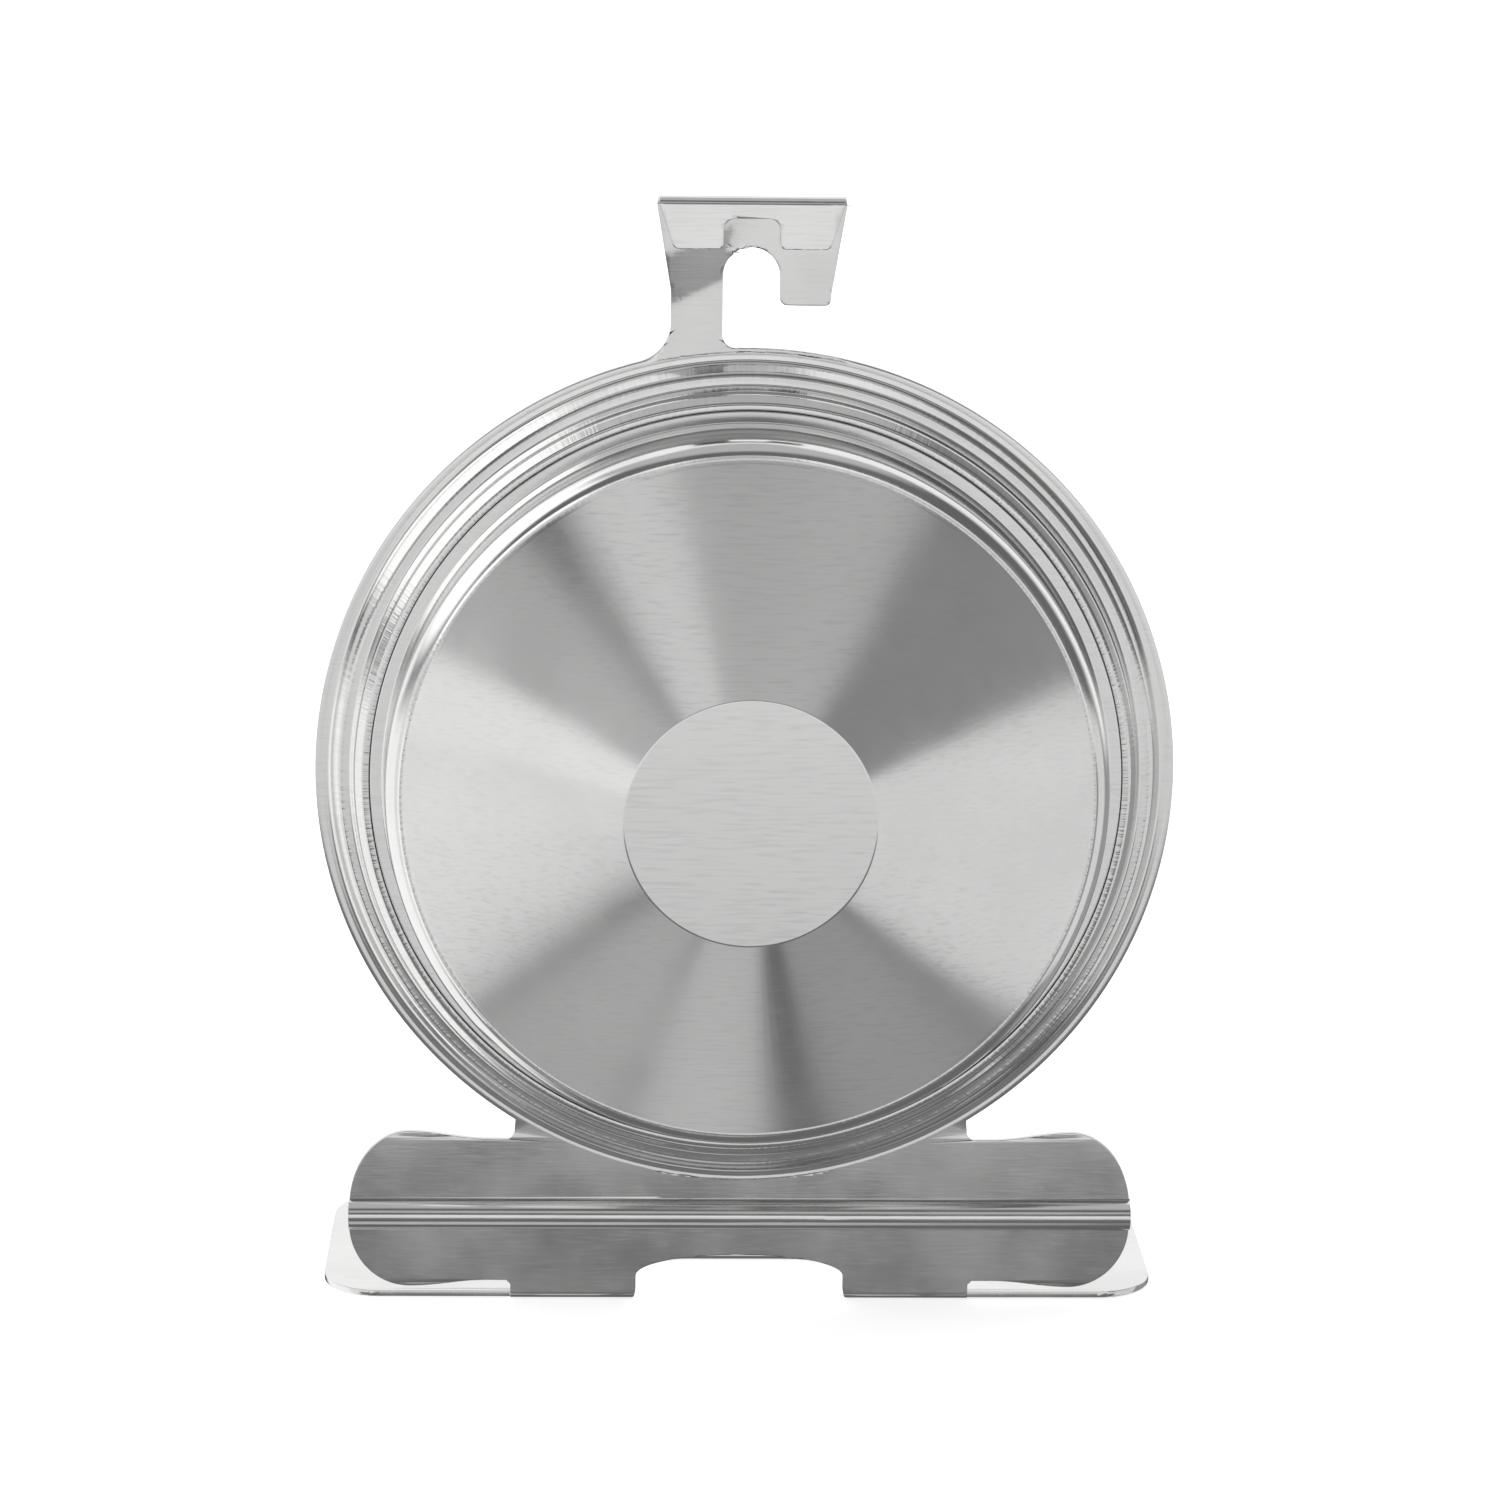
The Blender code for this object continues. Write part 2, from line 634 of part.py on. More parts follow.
def build_bushes():
    """Flanged brass bushes, each with its flange inside the movement."""
    bore = SHAFT_RADIUS + RUNNING_FIT
    flange_front, flange_back, flange = DIAL_BACK + 0.1, DIAL_BACK + 0.6, BUSH_RADIUS + 0.8
    front = [
        (bore, DIAL_FRONT - 0.25),
        (BUSH_RADIUS, DIAL_FRONT - 0.25),
        (BUSH_RADIUS, flange_front),
        (flange, flange_front),
        (flange, flange_back),
        (bore, flange_back),
    ]
    turned("front_bush", front, BRASS, segments=BUSH_SEGMENTS)
    bridge_front = BRIDGE_DEPTH - BRIDGE_SHEET
    rear = [
        (bore, bridge_front - 0.6),
        (BUSH_RADIUS, bridge_front - 0.6),
        (BUSH_RADIUS, bridge_front - 0.1),
        (BUSH_RADIUS - 0.5, bridge_front - 0.1),
        (BUSH_RADIUS - 0.5, BRIDGE_DEPTH + 0.4),
        (bore, BRIDGE_DEPTH + 0.4),
    ]
    turned("rear_bush", rear, BRASS, segments=BUSH_SEGMENTS)


def build_coil():
    """A flat spiral strip from the collet out to the anchor post."""
    steps = COIL_TURNS * COIL_STEPS_PER_TURN
    outer, inner = [], []
    for i in range(steps + 1):
        part = i / steps
        angle = 2 * math.pi * COIL_TURNS * part - math.pi / 2
        radius = COIL_INNER + (COIL_OUTER - COIL_INNER) * part
        outer.append(((radius + COIL_STRIP) * math.cos(angle), (radius + COIL_STRIP) * math.sin(angle)))
        inner.append((radius * math.cos(angle), radius * math.sin(angle)))
    middle = (COIL_FRONT + COIL_BACK) / 2
    plate("bimetal_coil", [outer + inner[::-1]], COIL_BACK - COIL_FRONT, DARK_STEEL, TURNED, middle)
    steps = (*RIVET_HEAD, COIL_BACK + 0.4)
    headed_bar("coil_anchor_post", RIVET_RADIUS, 1.3, POST_PLACE, steps, DARK_STEEL)


def build_pointer():
    """Shaft, collet, hub and needle, all on the body that turns."""
    front, back = NEEDLE_DEPTH - 0.75, BRIDGE_DEPTH + 0.9
    round_bar("pointer_shaft", SHAFT_RADIUS, (0, 0), front, back, segments=BUSH_SEGMENTS)
    collet = ring_section(SHAFT_RADIUS + 0.02, COIL_INNER - 0.3, COIL_BACK - 0.2, COIL_FRONT + 0.2)
    turned("coil_collet", collet, BRASS, segments=BUSH_SEGMENTS)
    hub = [
        (SHAFT_RADIUS + 0.02, NEEDLE_DEPTH + 0.5),
        (HUB_RADIUS, NEEDLE_DEPTH + 0.5),
        (HUB_RADIUS, NEEDLE_DEPTH + 0.02),
        (HUB_NECK, NEEDLE_DEPTH + 0.02),
        (HUB_NECK, NEEDLE_DEPTH - 0.6),
        (SHAFT_RADIUS + 0.02, NEEDLE_DEPTH - 0.6),
    ]
    turned("pointer_hub", hub, BRASS, segments=BUSH_SEGMENTS)
    turn = math.radians(REST_ANGLE)
    frame = frame_of(
        (math.cos(turn), 0, -math.sin(turn)), (math.sin(turn), 0, math.cos(turn)), (0, -1, 0), DIAL_CENTRE
    )
    needle = [
        (0.25, NEEDLE_LENGTH),
        (0.9, 3.0),
        (1.6, 2.6),
        (2.9, 0),
        (1.6, -2.6),
        (0.9, -3.0),
        (1.5, -NEEDLE_TAIL),
    ]
    eye = circle((0, 0), HUB_NECK + 0.05, BUSH_SEGMENTS)
    depth = -NEEDLE_DEPTH + NEEDLE_SHEET / 2
    plate("pointer_needle", [mirrored(needle), eye], NEEDLE_SHEET, NEEDLE_PAINT, frame, depth)


def build_stop_pin():
    steps = (DIAL_FRONT - 1.3, DIAL_FRONT - 1.1, DIAL_BACK + 0.2)
    headed_bar("stop_pin", 0.4, 0.8, (0, -STOP_PIN_RADIUS), steps, BRASS)


build_frame_plate()
build_back_cup()
build_front_bezel()
build_lens_and_rings()
build_dial()
build_bridge()
build_bushes()
build_coil()
build_pointer()
build_stop_pin()
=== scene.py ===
# %% [markdown]
# # A stainless oven thermometer, seen from its drawn back
# The real object is a handful of pressed sheets: a frame plate that carries the hook, the crimped ring
# and the folded foot, a drawn cup behind, a rolled bezel with a glass in front, and a coil movement
# between them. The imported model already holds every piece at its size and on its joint. Here each piece
# that shows is made again with finer curves, and every piece gets the finish of its real metal.

# %% Load the frame
import json
import math

import bpy
from mathutils import Matrix, Vector


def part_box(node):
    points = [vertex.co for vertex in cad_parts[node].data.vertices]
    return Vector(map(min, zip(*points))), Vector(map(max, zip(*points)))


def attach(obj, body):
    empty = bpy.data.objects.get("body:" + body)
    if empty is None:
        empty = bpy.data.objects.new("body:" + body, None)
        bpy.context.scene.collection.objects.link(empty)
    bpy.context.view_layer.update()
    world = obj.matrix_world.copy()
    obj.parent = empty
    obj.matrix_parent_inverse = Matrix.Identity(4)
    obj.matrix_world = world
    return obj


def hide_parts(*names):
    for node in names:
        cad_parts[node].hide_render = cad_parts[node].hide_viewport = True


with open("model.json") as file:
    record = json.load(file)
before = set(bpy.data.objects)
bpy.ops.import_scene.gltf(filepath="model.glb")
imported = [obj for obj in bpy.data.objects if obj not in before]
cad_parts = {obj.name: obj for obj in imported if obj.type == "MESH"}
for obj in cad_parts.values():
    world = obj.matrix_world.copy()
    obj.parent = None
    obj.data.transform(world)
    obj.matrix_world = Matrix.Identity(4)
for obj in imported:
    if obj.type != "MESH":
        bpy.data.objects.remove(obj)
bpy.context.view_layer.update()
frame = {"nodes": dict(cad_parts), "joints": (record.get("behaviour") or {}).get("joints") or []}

MM = 0.001
TINY = 0.000002
CENTRE = Vector(frame["joints"][0]["pos_m"])
print("dial centre", [round(value / MM, 2) for value in CENTRE], "mm")

# %% [markdown]
# ## Drawing helpers
# Pressed and turned shapes are drawn as short lists of points in millimetres. A corner can carry a
# radius, because sheet metal never turns sharply, and a wall is its middle line set off to both sides.


# %% Points, arcs and rounded corners
def arc(centre, radius, start, end, steps):
    """Points along an arc, with both ends, from one angle in degrees to another."""
    angles = [math.radians(start + (end - start) * i / steps) for i in range(steps + 1)]
    return [(centre[0] + radius * math.cos(a), centre[1] + radius * math.sin(a)) for a in angles]


def oval(centre, half_wide, half_high, start, end, steps):
    """Points along part of an ellipse."""
    unit = arc((0, 0), 1, start, end, steps)
    return [(centre[0] + half_wide * x, centre[1] + half_high * y) for x, y in unit]


def ease(start, end, steps):
    """Points of a soft S between two points that is level at both ends, without the ends."""
    parts = [i / steps for i in range(1, steps)]
    rises = [(1 - math.cos(math.pi * part)) / 2 for part in parts]
    return [
        (start[0] + (end[0] - start[0]) * part, start[1] + (end[1] - start[1]) * rise)
        for part, rise in zip(parts, rises)
    ]


def rounded_corner(before, corner, after, radius, steps):
    """An arc of the radius in place of one corner."""
    to_before = math.atan2(before[1] - corner[1], before[0] - corner[0])
    to_after = math.atan2(after[1] - corner[1], after[0] - corner[0])
    turn = (to_after - to_before + math.pi) % (2 * math.pi) - math.pi
    middle = to_before + turn / 2
    reach = radius / abs(math.sin(turn / 2))
    centre = (corner[0] + reach * math.cos(middle), corner[1] + reach * math.sin(middle))
    sweep = math.copysign((180 - math.degrees(abs(turn))) / 2, turn)
    facing = math.degrees(middle) + 180
    return arc(centre, radius, facing + sweep, facing - sweep, steps)


def rounded(corners, steps=8, closed=True):
    """An outline from corners given as (x, y) or (x, y, radius)."""
    points = []
    for i, corner in enumerate(corners):
        at_end = not closed and i in (0, len(corners) - 1)
        if len(corner) < 3 or at_end:
            points.append(corner[:2])
            continue
        after = corners[(i + 1) % len(corners)]
        points += rounded_corner(corners[i - 1], corner, after, corner[2], steps)
    return points


def mirrored(points):
    """The points, then their mirror images in the other direction."""
    return points + [(-x, y) for x, y in reversed(points)]


def offset_line(line, distance):
    """A copy of an open line, set off to its right by the distance, with its corners mitred."""
    offset = []
    for i, (x, y) in enumerate(line):
        ahead = line[min(i + 1, len(line) - 1)]
        behind = line[max(i - 1, 0)]
        runs = [(x - behind[0], y - behind[1]), (ahead[0] - x, ahead[1] - y)]
        sides = [Vector((dy, -dx)).normalized() for dx, dy in runs if dx or dy]
        across = sum(sides, Vector((0, 0))).normalized()
        stretch = distance / across.dot(sides[0])
        offset.append((x + across.x * stretch, y + across.y * stretch))
    return offset


def wall_section(line, thickness):
    """A closed section: the line, then a copy of it set off to its right by the thickness."""
    return line + offset_line(line, thickness)[::-1]


# %% [markdown]
# ## Modelling helpers
# A turned piece starts as one vertex, made by merging a small plane. The vertex is extruded along the
# section, and the line is spun about the case axis, as on a lathe. Merging the doubles closes the seam
# and the pole, and the normals are made to point outwards before anything else is done to the shape.

# %% Spin a section into a solid
SEGMENTS = 192  # sides of the large rings, so that their outlines look round
SMALL_SEGMENTS = 64


def leave_edit(name):
    """Back to object mode with the piece named."""
    bpy.ops.object.mode_set(mode="OBJECT")
    made = bpy.context.object
    made.name = name
    made.data.name = name
    return made


def clean_mesh():
    """Merges what coincides and turns every face outwards, in edit mode."""
    bpy.ops.mesh.select_all(action="SELECT")
    bpy.ops.mesh.remove_doubles(threshold=TINY)
    bpy.ops.mesh.normals_make_consistent(inside=False)


def draw_line(points):
    """A new mesh in edit mode: one vertex, extruded from point to point."""
    bpy.ops.object.select_all(action="DESELECT")
    bpy.ops.mesh.primitive_plane_add(size=MM, location=(0, 0, 0))
    bpy.ops.object.mode_set(mode="EDIT")
    bpy.ops.mesh.select_all(action="SELECT")
    bpy.ops.mesh.merge(type="CENTER")
    bpy.ops.transform.translate(value=points[0])
    for before, after in zip(points, points[1:]):
        bpy.ops.mesh.extrude_vertices_move(TRANSFORM_OT_translate={"value": after - before})


def turned(name, section, closed=True, segments=SEGMENTS, place=(0, 0)):
    """Spins a (radius, depth) section about the case axis, or one beside it at (across, up)."""
    axis_at = CENTRE + Vector((place[0], 0, place[1])) * MM
    line = section + section[:1] if closed else section
    draw_line([axis_at + Vector((radius, depth, 0)) * MM for radius, depth in line])
    bpy.ops.mesh.select_all(action="SELECT")
    bpy.ops.mesh.spin(steps=segments, angle=2 * math.pi, center=axis_at, axis=(0, 1, 0))
    clean_mesh()
    return leave_edit(name)


# %% Finish a piece
def only(item):
    """Makes this the one selected and active object."""
    bpy.ops.object.select_all(action="DESELECT")
    item.select_set(True)
    bpy.context.view_layer.objects.active = item


def apply_modifier(item, kind, **settings):
    """Adds a modifier with these settings and applies it."""
    only(item)
    step = item.modifiers.new(kind.lower(), kind)
    for key, value in settings.items():
        setattr(step, key, value)
    bpy.ops.object.modifier_apply(modifier=step.name)


def soften_edges(item, width, sharper_than=50):
    """Breaks the sharp edges with a narrow two-step bevel."""
    apply_modifier(
        item,
        "BEVEL",
        width=width * MM,
        segments=2,
        limit_method="ANGLE",
        angle_limit=math.radians(sharper_than),
        use_clamp_overlap=False,
    )


def shade(item, angle=35):
    """Smooth shading led by the large faces, with edges that turn further than the angle left crisp."""
    only(item)
    bpy.ops.object.shade_smooth_by_angle(angle=math.radians(angle))
    apply_modifier(item, "WEIGHTED_NORMAL", keep_sharp=True, weight=100)


def count_faces(item):
    return f"{item.name}: {len(item.data.polygons)} faces"


# %% [markdown]
# ## The frame plate, drawn as a flat blank
# On the real object one sheet makes the hook, the ring, the stand and the foot: it is stamped flat,
# then folded. Drawing the flat blank and folding its points gives the true shape of the hem and of
# the foot's bend. Heights are measured from the dial's centre, along the middle of the sheet.

# %% Sizes of the frame plate, in millimetres
plate_low, plate_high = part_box("frame_plate")
FLOOR_DOWN = (CENTRE.z - plate_low.z) / MM
SHEET = 0.5
RING_RADIUS = (plate_high.x - plate_low.x) / MM / 2
SEAM_RADIUS = 32.2  # where the flat blank meets the pressed ring
HOOK_TOP = (plate_high.z - CENTRE.z) / MM
HEM_GAP = 0.25
HEM_RADIUS = (HEM_GAP + SHEET) / 2
HEM_UP = HOOK_TOP - HEM_GAP / 2 - SHEET
SLOT_HALF, SLOT_CENTRE_UP = 2.1, 37.9
HOOK_HALF_TOP, HOOK_HALF_NECK = 7.0, 5.93
HOOK_NECK_UP, HOOK_TIP_UP = 36.75, 35.73
FLAP_HALF_TOP, FLAP_HALF_END = 6.8, 5.75
FLAP_END_UP, FLAP_NOTCH_UP = 39.95, 42.2
FOLD_MIDDLE = 0.3  # bend radius of the foot
FOLD_UP = FOLD_MIDDLE + SHEET / 2 - FLOOR_DOWN
BEAD_DOWN, BEAD_MIDDLE = 35.05, 0.95
FOOT_DEPTH, FOOT_NOTCH_DEPTH = 24.0, 9.3
HOOK_SWEEP, THROAT_RADIUS = 3.0, 1.0  # fillets between the stem and the ring


def on_flap(up):
    """Where a height on the folded flap lies on the blank."""
    return 2 * HEM_UP + math.pi * HEM_RADIUS - up


def on_foot(depth):
    """Where a distance in front of the sheet's back face lies on the blank, for the foot."""
    return FOLD_UP - math.pi / 2 * FOLD_MIDDLE - (depth - FOLD_MIDDLE - SHEET / 2)


# %% The hook's outline
def stem_fillet(edge, radius, side):
    """A fillet between a stem edge and the ring: its centre, and the angle where it meets the ring."""
    x = edge + side * radius
    y = math.sqrt((RING_RADIUS + radius) ** 2 - x**2)
    return (x, y), math.degrees(math.atan2(-y, -x))


def hook_outline():
    """From the ring up the slot, round the tip, over the hem and flap, and down the stem."""
    throat, throat_meets = stem_fillet(-SLOT_HALF, THROAT_RADIUS, 1)
    sweep, sweep_meets = stem_fillet(-HOOK_HALF_NECK, HOOK_SWEEP, -1)
    slot = arc(throat, THROAT_RADIUS, throat_meets, -180, 10)
    slot += arc((0, SLOT_CENTRE_UP), SLOT_HALF, 180, 0, 32)
    tip_edge = HOOK_HALF_NECK - 0.1
    tip_corners = [(SLOT_HALF, SLOT_CENTRE_UP), (SLOT_HALF, HOOK_TIP_UP, 0.6)]
    tip_corners += [(tip_edge, HOOK_TIP_UP, 0.4), (HOOK_HALF_NECK, HOOK_NECK_UP)]
    tip = rounded(tip_corners, closed=False)[1:]
    flap_end, notch_up = on_flap(FLAP_END_UP), on_flap(FLAP_NOTCH_UP)
    half_flap = [(FLAP_HALF_END, flap_end, 0.5), (SLOT_HALF, flap_end, 0.4), (SLOT_HALF, notch_up, 0.9)]
    corners = [(FLAP_HALF_TOP, on_flap(HEM_UP))] + half_flap
    corners += [(-x, y, radius) for x, y, radius in reversed(half_flap)]
    corners += [(-FLAP_HALF_TOP, on_flap(HEM_UP))]
    flap = rounded(corners, closed=False)
    stem = [(-HOOK_HALF_TOP, HEM_UP), (-HOOK_HALF_NECK, HOOK_NECK_UP)]
    stem += arc(sweep, HOOK_SWEEP, 0, sweep_meets, 16)
    return slot + tip + [(HOOK_HALF_TOP, HEM_UP)] + flap + stem


# %% The stand's outline
WING_HALF, WING_LOBE = 30.24, 25.6
STAND_NECK = (17.4, -27.45)  # where the ring's edge meets the stand
TAB_OUTER = 17.8
ARCH_HALF, ARCH_TOP, ARCH_RISE = 8.05, 38.39, 1.75
ARCH_FOOT_RADIUS, FOOT_NOTCH_HALF = 1.5, 9.6
UPPER_DIP, UPPER_CREST = (19.5, -29.0), -28.4
LOWER_DIP, LOWER_CREST = (19.6, -40.52), -41.0
NOTCH_MIDDLE, NOTCH_RADIUS = (18.05, -28.4), 0.6  # the corner between the ring's edge and the stand
UPPER_LOBE_MIDDLE, LOWER_LOBE_MIDDLE = -34.6, -36.0


def stand_half():
    """Right half of the stand and foot on the blank, from the ring to the middle of the foot's notch."""
    lobe_wide = WING_HALF - WING_LOBE
    slit = on_foot(FOLD_MIDDLE + SHEET / 2)
    upper = arc(NOTCH_MIDDLE, NOTCH_RADIUS, 170, 270, 8) + [UPPER_DIP]
    upper += ease(UPPER_DIP, (WING_LOBE, UPPER_CREST), 16)
    upper_high, lower_high = UPPER_CREST - UPPER_LOBE_MIDDLE, LOWER_LOBE_MIDDLE - LOWER_CREST
    upper += oval((WING_LOBE, UPPER_LOBE_MIDDLE), lobe_wide, upper_high, 90, 0, 24)
    lower = oval((WING_LOBE, LOWER_LOBE_MIDDLE), lobe_wide, lower_high, 0, -90, 24)
    lower += ease((WING_LOBE, LOWER_CREST), LOWER_DIP, 16)
    lower += [LOWER_DIP, (TAB_OUTER + 0.3, LOWER_DIP[1]), (TAB_OUTER, LOWER_DIP[1] - 0.3)]
    lower.append((TAB_OUTER, slit))
    foot_end = on_foot(FOOT_DEPTH)
    foot_corners = [(0, slit), (RING_RADIUS, slit, 4.5), (RING_RADIUS, foot_end, 5.0), (0, foot_end)]
    return upper + lower + rounded(foot_corners, steps=16, closed=False)[1:-1]


def arch_outline():
    """The cut-out that makes the arch in the stand and the notch in the foot."""
    half = oval((0, -ARCH_TOP - ARCH_RISE), ARCH_HALF, ARCH_RISE, 90, 0, 20)
    half += arc((ARCH_HALF + ARCH_FOOT_RADIUS, FOLD_UP + 0.35), ARCH_FOOT_RADIUS, 180, 265, 8)
    notch_end = on_foot(FOOT_NOTCH_DEPTH)
    corners = [(0, -ARCH_TOP), (FOOT_NOTCH_HALF, on_foot(0.9), 0.3)]
    corners += [(FOOT_NOTCH_HALF, notch_end, 5.5), (0, notch_end)]
    half += rounded(corners, steps=12, closed=False)[1:-1]
    return mirrored(half)[:-1]


def angle_of(point):
    return math.degrees(math.atan2(point[1], point[0]))


def blank_outline():
    hook, stand = hook_outline(), stand_half()
    stand_meets = angle_of(STAND_NECK)
    left = arc((0, 0), RING_RADIUS, angle_of(hook[-1]), 180 - stand_meets, 90)[1:]
    right = arc((0, 0), RING_RADIUS, stand_meets, angle_of(hook[0]), 96)[:-1]
    return hook + left + [(-x, y) for x, y in stand] + stand[::-1] + right


# %% [markdown]
# ## Cut the blank and fold it
# The outline is a filled flat curve made into a mesh, because a fill with holes is quick that way.
# Bisecting it at each fold line gives the sheet creases to bend at, and one function then carries
# every point to its place: over the hem, along the flat, over the bead, and round into the foot.


# %% Fill the flat blank
BESIDE = 0.08  # an extra crease this far from a bend keeps the flat next to it flat
GRID = 0.4  # spacing of the creases over the hook
GRID_LINES = 17  # on each side of the middle
STEM_SET_BACK = 0.42  # a shallow bend puts the hook this much behind the ring
BEND_BEGINS, BENT_LENGTH = SLOT_CENTRE_UP - 2.5, 4.4
BEND_FADES = 1.5  # past the slot the whole hook is set back, after a soft start this wide
STAYS_FLAT = 1.5  # nothing bends nearer to the ring's edge than this
FLAP_OPENS = 0.035  # the folded flap stands off by this much for each unit of its length


def filled_outline(name, outlines):
    """A flat mesh inside the first outline and outside the others."""
    drawing = bpy.data.curves.new(name, "CURVE")
    drawing.dimensions = "2D"
    drawing.fill_mode = "BOTH"
    for outline in outlines:
        spline = drawing.splines.new("POLY")
        spline.points.add(len(outline) - 1)
        spline.use_cyclic_u = True
        for point, (x, y) in zip(spline.points, outline):
            point.co = (x * MM, y * MM, 0, 1)
    item = bpy.data.objects.new(name, drawing)
    bpy.context.scene.collection.objects.link(item)
    only(item)
    bpy.ops.object.convert(target="MESH")
    bpy.ops.object.mode_set(mode="EDIT")
    clean_mesh()
    return leave_edit(name)


def crease_heights():
    """Heights on the blank where the sheet needs a crease to follow a fold or the bead."""
    hem = [HEM_UP + HEM_RADIUS * math.radians(turn) for turn in range(0, 181, 12)]
    hem += [HEM_UP - BESIDE, on_flap(HEM_UP) + BESIDE]
    fold = [FOLD_UP - FOLD_MIDDLE * math.radians(turn) for turn in range(0, 91, 9)]
    fold += [FOLD_UP + BESIDE, on_foot(FOLD_MIDDLE + SHEET / 2) - BESIDE]
    bead = [BEAD_MIDDLE * math.cos(math.radians(turn)) for turn in range(4, 177, 8)]
    bead += [side * (BEAD_MIDDLE + BESIDE) for side in (-1, 1)]
    stem = [HEM_UP - step * GRID for step in range(1, int(BENT_LENGTH * 2 / GRID))]
    return hem + fold + stem + [height - BEAD_DOWN for height in bead]


# %% Carry each point of the blank to the folded sheet
def smooth_step(share):
    """A soft start and end for a share that goes from 0 to 1."""
    share = min(max(share, 0.0), 1.0)
    return share * share * (3 - 2 * share)


def stem_bend(across, up):
    """How far the stem's slanting bend has carried this point of the blank back."""
    if math.hypot(across, up) < RING_RADIUS + STAYS_FLAT:
        return 0.0
    begins = BEND_BEGINS + (across + HOOK_HALF_NECK) / 2
    along_stem = min(max((up - begins) / BENT_LENGTH, 0.0), 1.0)
    past_slot = smooth_step((across + SLOT_HALF) / BEND_FADES)
    return STEM_SET_BACK * max(along_stem, past_slot)


def folded(across, up):
    """The place of a point of the blank on the folded sheet, as (across, up, depth)."""
    middle = -SHEET / 2 + (stem_bend(across, up) if up > 0 else 0.0)
    if up > HEM_UP:
        turn = min((up - HEM_UP) / HEM_RADIUS, math.pi)
        straight = up - HEM_UP - turn * HEM_RADIUS
        height = HEM_UP + HEM_RADIUS * math.sin(turn) - straight
        return across, height, middle + HEM_RADIUS * (1 - math.cos(turn)) + straight * FLAP_OPENS
    if up < FOLD_UP:
        turn = min((FOLD_UP - up) / FOLD_MIDDLE, math.pi / 2)
        straight = FOLD_UP - up - turn * FOLD_MIDDLE
        height = FOLD_UP - FOLD_MIDDLE * math.sin(turn)
        return across, height, middle - FOLD_MIDDLE * (1 - math.cos(turn)) - straight
    off_bead = abs(up + BEAD_DOWN)
    if off_bead < BEAD_MIDDLE:
        return across, up, math.sqrt(BEAD_MIDDLE**2 - off_bead**2)
    return across, up, middle


def fold_blank(item):
    """Bisects the blank at its creases and bends it into place behind the dial."""
    bpy.ops.object.mode_set(mode="EDIT")
    cuts = [((0, up * MM, 0), (0, 1, 0)) for up in crease_heights()]
    cuts += [((step * GRID * MM, 0, 0), (1, 0, 0)) for step in range(-GRID_LINES, GRID_LINES + 1)]
    for place, across in cuts:
        bpy.ops.mesh.select_all(action="SELECT")
        bpy.ops.mesh.bisect(plane_co=place, plane_no=across, threshold=TINY / 2)
    bpy.ops.object.mode_set(mode="OBJECT")
    for vertex in item.data.vertices:
        across, up, depth = folded(vertex.co.x / MM, vertex.co.y / MM)
        vertex.co = CENTRE + Vector((-across, depth, up)) * MM


# %% [markdown]
# ## The pressed ring
# Inside the flat rim the sheet steps back, makes a narrow ledge, stands up as a wall, and its lip is
# crimped over the rim of the cup. That is a turned shape, so its middle line is spun and then joined
# to the blank. Solidify gives the whole sheet its half millimetre, and a fine bevel breaks the edges.

# %% Spin the ring, join it and thicken the sheet
COLLAR_RADIUS, LIP_RADIUS = 29.45, 28.3
GROOVE_RADIUS, GROOVE_HALF, GROOVE_DEPTH = 31.95, 0.07, 0.012


def collar_line():
    """Middle of the sheet from the flat rim inward: tool groove, step, ledge, wall and crimped lip."""
    corners = [(SEAM_RADIUS, 0), (GROOVE_RADIUS + GROOVE_HALF, 0), (GROOVE_RADIUS, -GROOVE_DEPTH)]
    corners += [(GROOVE_RADIUS - GROOVE_HALF, 0), (31.45, 0, 0.5), (30.8, 0.92, 0.6), (30.5, 1.05, 0.3)]
    corners += [(29.85, 1.05, 0.35), (COLLAR_RADIUS + 0.02, 1.5, 0.4), (29.42, 2.25, 0.5)]
    corners += [(28.85, 2.9, 0.5), (LIP_RADIUS, 2.95)]
    return offset_line(rounded(corners, steps=6, closed=False), -SHEET / 2)


def make_stand_sheet():
    hole = arc((0, 0), SEAM_RADIUS, 0, 360 - 360 / SEGMENTS, SEGMENTS - 1)
    blank = filled_outline("stand_sheet", [blank_outline(), hole, arch_outline()])
    fold_blank(blank)
    line = collar_line()
    ring = turned("ring", [(SEAM_RADIUS, line[0][1])] + line[1:], closed=False)
    ring.select_set(True)
    blank.select_set(True)
    bpy.context.view_layer.objects.active = blank
    bpy.ops.object.join()
    bpy.ops.object.mode_set(mode="EDIT")
    clean_mesh()
    leave_edit("stand_sheet")
    apply_modifier(blank, "SOLIDIFY", thickness=SHEET * MM, offset=0, use_even_offset=True)
    soften_edges(blank, 0.06, sharper_than=65)
    shade(blank, 25)
    return blank


stand_sheet = make_stand_sheet()
print(count_faces(stand_sheet))

# %% [markdown]
# ## The drawn cup
# The cup is one thin sheet drawn over a punch: a rim caught under the crimp, a short wall, a round
# shoulder, a cone and a flat disc. The punch leaves a crisp crease where the shoulder meets the cone,
# so that corner is small, and a hair-wide ridge follows it.

# %% Spin the cup
DISC_DEPTH = (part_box("back_cup")[1].y - CENTRE.y) / MM
CUP_SHEET = 0.3
CONE_RADIUS, CONE_DEPTH, DISC_RADIUS = 25.72, 8.77, 9.2


